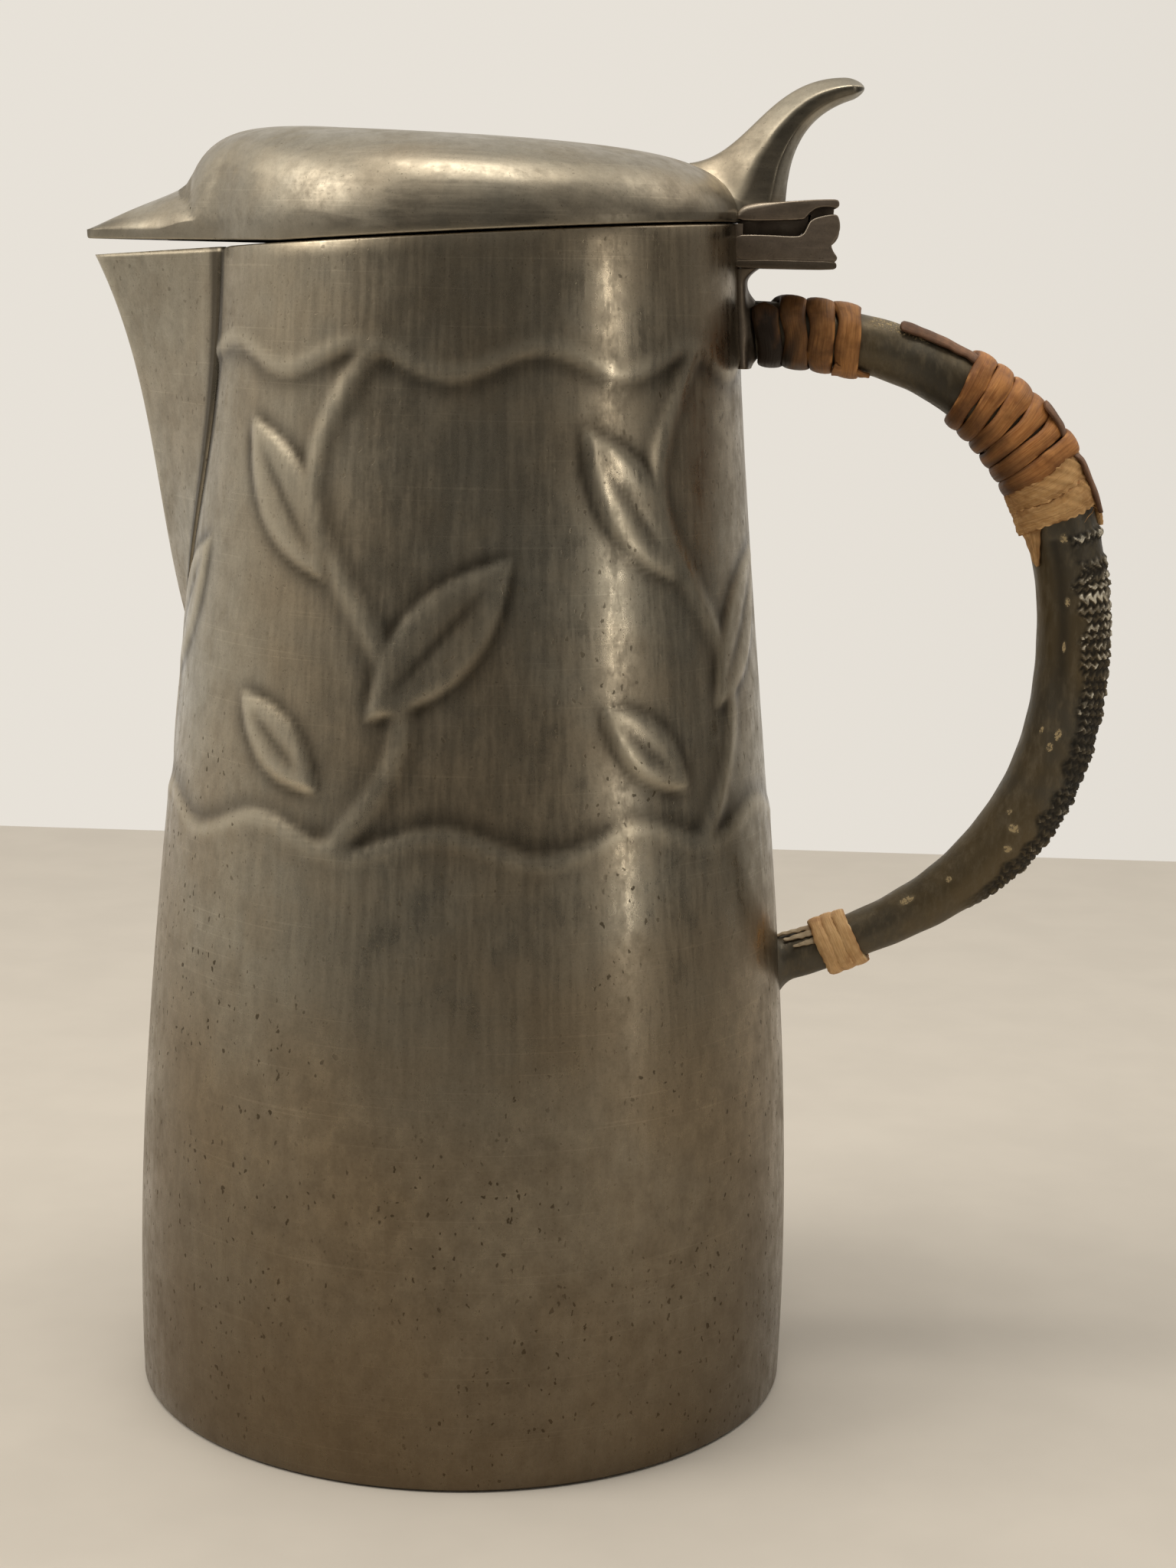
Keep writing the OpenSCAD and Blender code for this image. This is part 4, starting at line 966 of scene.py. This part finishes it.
# core: round sections along the centre line; on the outer side a raised strip carries rows of rasp teeth,
# each row a saw edge along the core and each tooth a peak across it, all uneven; the lower root flares
# onto the wall
def corePart():
    s = np.concatenate([
        np.arange(0.2, burrFrom, grip.rootStep), np.arange(burrFrom, burrTo, grip.burrStep),
        np.arange(burrTo, gripL + 1.2, grip.stubStep)])[:, None]
    band = np.linspace(-grip.burrHalf - 16, grip.burrHalf + 16, 122)
    a = np.concatenate([band, np.linspace(band[-1], band[0] + 360, 26)[1:-1]])[None, :]
    side = np.where(a > 180, a - 360, a)
    aside = np.abs(side)
    rng = np.random.default_rng(grip.seed)

    # rows and teeth, each with its own height
    down = np.clip((s - burrFrom) / (burrTo - burrFrom), 0, 1)
    toothK = side / grip.burrTooth + 0.5 * waver(s, 5, 5)
    zigzag = 2 * np.abs(2 * (toothK % 1) - 1) - 1
    rowK = (s - burrFrom) * (1 + 0.15 * down) / grip.burrRow + 0.3 * waver(s, 9, 4)
    rowK = rowK + grip.zig * zigzag + 0.12 * waver(side + 3 * s, 60, 3)
    rowI = np.clip(np.floor(rowK), 0, 199).astype(int)
    toothI = np.floor(toothK).astype(int) % 64
    lift = rng.uniform(0.4, 1.0, (200, 64))[rowI, toothI]
    along = rowK - np.floor(rowK)
    saw = np.where(along < 0.62, along / 0.62, (1 - along) / 0.38)
    teeth = np.clip(saw, 0, 1) ** 1.2 * lift
    inLength = smooth((s - burrFrom) / 0.6) * smooth((burrTo - s) / 9)
    # bare: a stretch near the band that has lost its teeth
    bare = smooth((np.abs(s - burrFrom - 3.6) - 0.9) / 0.8)
    ragged = grip.burrHalf - 6 - grip.burrTaper * down + 8 * waver(s, 7, 11) - aside
    rasped = inLength * smooth(ragged / 9)
    beside = inLength * smooth((burrFrom + 34 - s) / 12) * bell(aside - grip.burrHalf - 10, 13.0)
    land = grip.land * inLength * smooth((grip.burrHalf + 6 - aside) / 10)

    r = coreR(s) + land - 0.15 * beside + grip.burr * teeth * rasped * (0.1 + 0.9 * bare)
    r = r + 0.06 * waver(s + 0.02 * side, 13, 21) + 0.05 * waver(side + 2 * s, 70, 22)
    r = r + grip.flare * np.maximum(0, (s - gripL + grip.flareL) / grip.flareL) ** 2
    rings = onCore(s, a, r)
    fromAxis = np.hypot(rings[..., 0], rings[..., 1])
    floor = wallR(rings[..., 2]) - 0.5  # no point lies deeper in the wall than this
    push = np.where((fromAxis < floor) & (rings[..., 0] > 0), floor / fromAxis, 1.0)
    rings[..., :2] *= push[..., None]

    # tan film beside the top strip, pale stub and flecks; painted shade among the teeth and in the groove
    # beside the strip, soot at the root, and darker on the inner side before the middle wrap
    film = smooth((s - middleS + 21) / 4) * smooth((middleS - 5 - s) / 4)
    film = film * smooth((42 - np.abs(side - 22)) / 24)
    residue = np.maximum(0.5 * film, 0.6 * smooth((s - gripL + 16) / 3) * smooth((gripL - 11 - s) / 3))
    for fromEnd, angle, long, broad in grip.flecks:
        across = np.radians((side - angle + 180) % 360 - 180) * coreR(s)
        away = np.hypot((s - gripL + fromEnd) / long, across / broad)
        residue = np.maximum(residue, 1.2 * smooth(1.6 - away))
    sootAndShade = np.maximum(rasped * (0.35 + 0.65 * bare), 0.75 * beside)
    sootAndShade = np.maximum(sootAndShade, 0.7 * smooth((6 - s) / 3))
    under = smooth((s - middleS + 13) / 10) * smooth((middleS + 3 - s) / 3) * smooth((aside - 60) / 50)
    sootAndShade = np.maximum(sootAndShade, 0.6 * under)
    fresh = 0.55 + 0.45 * smooth((burrFrom + 42 - s) / 36)
    # the rasped mark carries the painted shade and the soot; the burr mark places the painted highlight on
    # the tips
    return tube(rings, burr=teeth * rasped * bare * fresh, rasped=sootAndShade, residue=residue)


makePiece("handleCore", corePart(), handleMetal, "handle_core")


# once round a strip's section: the place across it, 1 to -1 over the top and back beneath; which is top
def stripSection(count):
    v = np.cos(np.linspace(0, np.pi, count // 2))
    return np.concatenate([v, v[-2:0:-1]])[None, :], np.arange(count - 2)[None, :] < count // 2


# wound strip: a domed section, flat underneath, carried along a screw line round the core; its width,
# lift and edges waver, it may be crumpled and torn, and a hump lifts its later turns at one angle
def woundPart(firstS, pitch, count, firstA, thick, wide, seed, dome=0.45, wild=0.12, grime=None, perTurn=72,
              section=18, crumple=0.0, torn=0.0, hump=None):
    k = np.linspace(0, count, int(count * perTurn))[:, None]
    over, top = stripSection(section)
    half = wide / 2 * (1 + wild * waver(k, 0.45, seed) + torn * waver(k, 0.07, seed + 7))
    half = half * np.minimum(smooth(k / 0.035 + 0.25), smooth((count - k) / 0.035 + 0.25))
    s = firstS + pitch * k + over * half + 0.06 * pitch * waver(k, 0.5, seed + 1)
    angle = firstA + 360 * k
    crown = thick * ((1 - dome) + dome * np.sqrt(np.maximum(0, 1 - over**2)))
    lift = turns.gap * 0.4 + 0.12 * thick * np.maximum(0, waver(k, 0.3, seed + 2))
    if hump:
        fromTurn, humpA, high, broad = hump
        lift = lift + high * (k > fromTurn) * bell((angle - humpA + 180) % 360 - 180, broad)
    creases = np.abs(waver(0.11 * angle + 2.2 * over, 3, seed + 5))
    creases = creases + 0.6 * np.abs(waver(0.23 * angle - 1.5 * over, 3, seed + 6))
    r = coreR(np.clip(s, 0, gripL)) + lift + np.where(top, crown + crumple * creases, 0.0)
    uv = stacked(k * 2 * np.pi * 6.5, over + 40 * seed)
    # grime together with painted shade on the inner side, from the function passed in
    dirtAndShade = np.clip(grime(s, angle), 0, 1) if grime else 0.0
    pale = 2.2 * waver(k + 0.07 * np.sign(over), 0.22, seed + 8) - 0.5 + 0.7 * (over > 0)
    fray = smooth((np.abs(over) - 0.8) / 0.15) * smooth(pale)
    # painted shade along each strip's edges through the edge mark
    return tube(onCore(s, angle, r), uv, edge=np.abs(over) ** 5, grime=dirtAndShade, fray=fray)


# 0 on the outer side of the core to 1 on its inner side
def innerSide(angle):
    return 0.5 - 0.5 * np.cos(np.radians(angle))


# grime towards the body, and grime with painted shade on the inner side of the upper wrap
def upperGrimeAndShade(s, angle):
    inner = innerSide(angle)
    root = smooth((9.5 - s) / 7)
    near = (0.97 * root + 0.5 * smooth((15 - s) / 7) * (1 - root)) * (0.8 + 0.2 * inner)
    return near + 0.4 * inner * smooth((20 - s) / 8) + 0.12 * waver(s + 0.03 * angle, 3, 44)


# grime with painted shade on the inner side of the middle wrap
def middleGrimeAndShade(s, angle):
    return 0.75 * smooth((innerSide(angle) - 0.45) / 0.5) + 0.15 * waver(s, 5, 40)


# loose strip along the core at one angle: a thin domed section with a wavering width and a lifted end;
# dip draws it down over a stretch
def strapPart(s0, s1, angle, lift0, lift1, wide0, wide1, thick, seed, twist=0.0, section=14, rows=40,
              curl=0.0, dip=None):
    k = np.linspace(0, 1, rows)[:, None]
    s = s0 + (s1 - s0) * k
    over, top = stripSection(section)
    half = (wide0 + (wide1 - wide0) * k) / 2 * (1 + 0.12 * waver(k, 0.4, seed))
    half = half * np.minimum(smooth(k / 0.06 + 0.35), smooth((1 - k) / 0.06 + 0.35))
    lift = lift0 + (lift1 - lift0) * k + curl * (1 - np.sin(np.pi * k)) + 0.1 * waver(k, 0.5, seed + 1)
    if dip:
        middle, reach, depth = dip
        lift = lift - depth * np.exp(-(((s - middle) / reach) ** 4))
    r = coreR(s) + lift + np.sin(np.radians(twist)) * over * half
    r = r + np.where(top, thick * (0.6 + 0.4 * np.sqrt(1 - over**2)), 0.0)
    a = angle + np.degrees(over * half * math.cos(math.radians(twist)) / (coreR(s) + lift))
    uv = stacked(s - s0, over[:, ::-1] + 40 * seed)
    dirtAndShade = 0.15 + 0.15 * waver(s + 3 * over, 3, seed + 2)
    # painted shade along the strip's edges through the edge mark
    return tube(onCore(s, a, r)[:, ::-1], uv, edge=np.abs(over[:, ::-1]) ** 6, grime=dirtAndShade, fray=0.0)


# fine torn fibres: thin three-sided threads that run round the core with a little drift and lift
def fibreThreads(count, s0, s1, a0, a1, lift, seed, long=(60, 170), thick=0.16, drift=1.5, rows=14):
    rng = np.random.default_rng(seed)

    def drawn(low, high):
        return rng.uniform(low, high, count)[:, None, None]

    k = np.linspace(0, 1, rows)[None, :, None]
    start, first = drawn(s0, s1), drawn(a0, a1)
    sweep = drawn(*long) * rng.choice([-1, 1], count)[:, None, None]
    slide, rise = drawn(-drift, drift), drawn(0.0, lift)
    fat = thick * drawn(0.6, 1.4) * np.sqrt(np.clip(4 * k * (1 - k), 0.02, 1))
    side = np.radians(np.array([90, 210, 330]))[None, None, :]
    s = start + slide * k + fat * np.cos(side) + 0.15 * np.sin(9 * k + first)
    r = coreR(np.clip(s, 0, gripL)) + turns.gap + turns.fibreT * 0.75
    r = r + rise * (2 * k - 1) ** 2 + fat * np.sin(side)
    rings = onCore(s, first + sweep * k, r)
    maps = stacked(k * 20, np.cos(side) + first)
    ways = np.where(sweep.ravel() > 0, 1, -1)
    return joined([tube(g[:, ::d], m, edge=0, grime=0, fray=0) for g, m, d in zip(rings, maps, ways)])


# a winding is given by its first place, pitch, turns, first angle, thickness, width and seed; a strip by
# its two ends along the core, its angle, its lift and its width at both ends, its thickness and its seed
upperWrap = woundPart(
    upperS, turns.upperPitch, turns.upperTurns, turns.upperA, 1.35, turns.upperPitch - 0.15, 3,
    grime=upperGrimeAndShade)
makePiece("upperCaneWrap", upperWrap, caneDark, "upper_cane_wrap")
upperTail = strapPart(15.8, 22.8, 152.0, 0.9, 0.25, 4.6, 1.2, 0.5, 31, curl=0.3)
makePiece("upperWrapTail", upperTail, caneDark, "upper_wrap_tail")
topTo = middleS + turns.middlePitch * ((360 + turns.topA - turns.middleA) / 360 - 0.5) - turns.gap
topStrip = strapPart(topTo - 12.6, topTo + 1.2, 30.0, 0.5, 0.1, 3.2, 2.4, 0.7, 33)
makePiece("topCaneStrip", topStrip, caneStrip, "top_cane_strip")
middleWrap = woundPart(
    middleS, turns.middlePitch, turns.middleTurns, turns.middleA, 1.3, turns.middlePitch - 0.05, 5,
    grime=middleGrimeAndShade, hump=(4.9, 24.0, 0.75, 22.0))
makePiece("middleCaneWrap", middleWrap, caneWarm, "middle_cane_wrap")
sideStrip = strapPart(
    fibreEndS - 19.0, fibreEndS - 0.4, 24.0, 1.45, 1.15, 3.4, 2.0, 0.7, 35, twist=8, dip=(57.1, 2.3, 0.85))
makePiece("sideCaneStrip", sideStrip, caneStrip, "side_cane_strip")
fibreBand = joined([
    woundPart(
        fibreS - 0.4, turns.fibrePitch, turns.fibreTurns, middleEndA + turns.breakA, 0.95,
        turns.fibrePitch + 0.25, 7, dome=0.25, wild=0.08, perTurn=130, section=30, crumple=0.3, torn=0.07),
    strapPart(fibreEndS - 2.0, fibreEndS + 6.0, 152.0, 0.25, 0.05, 6.5, 1.0, 0.55, 37),
    fibreThreads(36, fibreS - 1.5, fibreEndS - 0.6, 0, 360, 0.4, 41, long=(20, 80), drift=3.0, thick=0.12)])
makePiece("fibreBand", fibreBand, caneFibre, "fibre_band")
lowerFine = (turns.lowerTurns * turns.lowerPitch + 0.6) / 3  # pitch of the lower strip's narrow turns
lowerWrap = joined([
    woundPart(
        lowerS - 0.3, lowerFine, 3.0, turns.lowerA, 1.2, lowerFine + 0.5, 9, dome=0.35, wild=0.1,
        perTurn=110, section=26, crumple=0.12, torn=0.06),
    fibreThreads(24, lowerS + 0.2, lowerS + 5.0, 0, 360, 0.1, 43, thick=0.1, drift=0.6)])
makePiece("lowerCaneWrap", lowerWrap, caneLower, "lower_cane_wrap")
strandS = gripL - turns.lowerStart + 0.3 - 1.5
strand = joined([
    strapPart(strandS, gripL - 1.6, 172.0, 0.1, 0.35, 2.2, 0.9, 0.4, 45),
    strapPart(strandS, gripL - 2.8, 148.0, 0.1, 0.2, 1.8, 0.6, 0.35, 47),
    strapPart(strandS, gripL - 4.2, 124.0, 0.1, 0.25, 1.3, 0.4, 0.3, 49)])
makePiece("lowerCaneStrand", strand, canePale, "lower_cane_strand")

sheet = Values(
    half=7.0, thick=1.2, low=180.9, high=197.7, foot=1.3, footH=2.6, head=2.2, headH=2.6, sink=0.5,
    rows=60, cols=31)


# strap: a sheet on the wall whose outside swells in a hollow curve into the flange above and round the
# handle's root
def strapSheet():
    z = np.linspace(sheet.low, sheet.high, sheet.rows)[:, None]
    y = np.linspace(-sheet.half, sheet.half, sheet.cols)[None, :]
    head = sheet.head * np.clip(1 - (sheet.high - z) / sheet.headH, 0, 1) ** 2
    away = np.hypot(y, z - grip.top) - coreR(np.array(2.0))
    foot = sheet.foot * np.clip(1 - away / sheet.footH, 0, 1) ** 2
    edge = np.sqrt(np.clip(1 - (np.abs(y) / sheet.half) ** 12, 0.0, 1))
    out = wallR(z) + sheet.thick * (0.35 + 0.65 * edge) + (head + foot) * edge
    back = wallR(z) - sheet.sink

    def placed(r):
        return stacked(np.sqrt(r**2 - y**2), y, z)

    return tube(np.concatenate([placed(out), placed(back)[:, ::-1]], 1), patina=0.55, worn=0.0)


makePiece("backStrap", strapSheet(), hingePewter, "back_strap")
print("handle made")


# Stage, light and camera

floorLook = Values(colour=(0.60, 0.56, 0.50), half=0.45, below=0.0002, rough=0.75)


# floor: a pale flat square just under the part
def makeFloor():
    h = floorLook.half
    mesh = bpy.data.meshes.new("floor")
    mesh.from_pydata([(-h, -h, 0), (h, -h, 0), (h, h, 0), (-h, h, 0)], [], [(0, 1, 2, 3)])
    f = Finish("paleFloor")
    grain = f.spread(f.noise(f.place(), 40.0, 3.0), 0.3, 0.7)
    tone = f.mix(grain, floorLook.colour, scaled(floorLook.colour, 0.96))
    mesh.materials.append(f.finished(Base_Color=tone, Roughness=floorLook.rough))
    floor = bpy.data.objects.new("floor", mesh)
    floor.location.z = -floorLook.below
    bpy.context.scene.collection.objects.link(floor)


makeFloor()

roomLight = Values(front=0.14, back=0.80, top=0.22, warm=(1.0, 0.945, 0.86), bright=(-0.55, 0.83, 0.0))


# plain room: paler behind and to the left, dimmer in front, a little brighter overhead
def makeRoom():
    world = bpy.data.worlds.new("room")
    bpy.context.scene.world = world
    n = Nodes(world)
    way = n.place("Generated")
    dot = n.add("VectorMath", {0: way, 1: roomLight.bright}, "Value", operation="DOT_PRODUCT")
    up = n.add("SeparateXYZ", {0: way}, "Z")
    around = n.spread(dot, -0.55, 0.9, roomLight.front, roomLight.back)
    level = n.plus(around, n.spread(up, 0.1, 1.0, 0.0, roomLight.top))
    n.feed(n.tree.nodes["Background"], {"Color": roomLight.warm, "Strength": level})


makeRoom()

lampColour = (1.0, 0.935, 0.84)
lampAim = (0, 0, 0.12)
lamps = dict(
    key=Values(place=(-0.75, -0.25, 0.72), size=(0.5, 0.5), power=4.2),
    strip=Values(place=(0.74, -0.40, 0.22), size=(0.035, 0.42), power=0.5),
    fill=Values(place=(0.65, 0.25, 0.80), size=(0.6, 0.6), power=1.6),
    over=Values(place=(0.0, -0.12, 0.90), size=(0.5, 0.22), power=2.5),
)


# rectangular lamps aimed at the part's middle; the narrow one stays upright
def makeLamps():
    for name, lamp in lamps.items():
        light = bpy.data.lights.new(name, "AREA")
        light.shape = "RECTANGLE"
        light.size, light.size_y = lamp.size
        light.energy = lamp.power
        light.color = lampColour
        holder = bpy.data.objects.new(name, light)
        holder.location = lamp.place
        aim = Vector(lampAim) - Vector(lamp.place)
        if name == "strip":
            aim.z = 0
        holder.rotation_euler = aim.to_track_quat("-Z", "Y").to_euler()
        bpy.context.scene.collection.objects.link(holder)


makeLamps()

eye = Values(
    place=(0.04041, -0.46186, 0.19610), lens=61.02, sensor=36.0, clip=0.01,
    right=(0.998700, 0.046302, 0.021313), up=(-0.029632, 0.187162, 0.981882),
    ahead=(-0.041474, 0.981237, -0.188291),
)


# camera at the photo's place
def makeCamera():
    data = bpy.data.cameras.new("camera")
    data.sensor_width = eye.sensor
    data.lens = eye.lens
    data.clip_start = eye.clip
    camera = bpy.data.objects.new("camera", data)
    axes = Matrix((eye.right, eye.up, tuple(-k for k in eye.ahead))).transposed().to_4x4()
    camera.matrix_world = Matrix.Translation(eye.place) @ axes
    bpy.context.scene.collection.objects.link(camera)
    bpy.context.scene.camera = camera


makeCamera()
bpy.context.scene.view_settings.view_transform = "Standard"
print("stage, light and camera made")
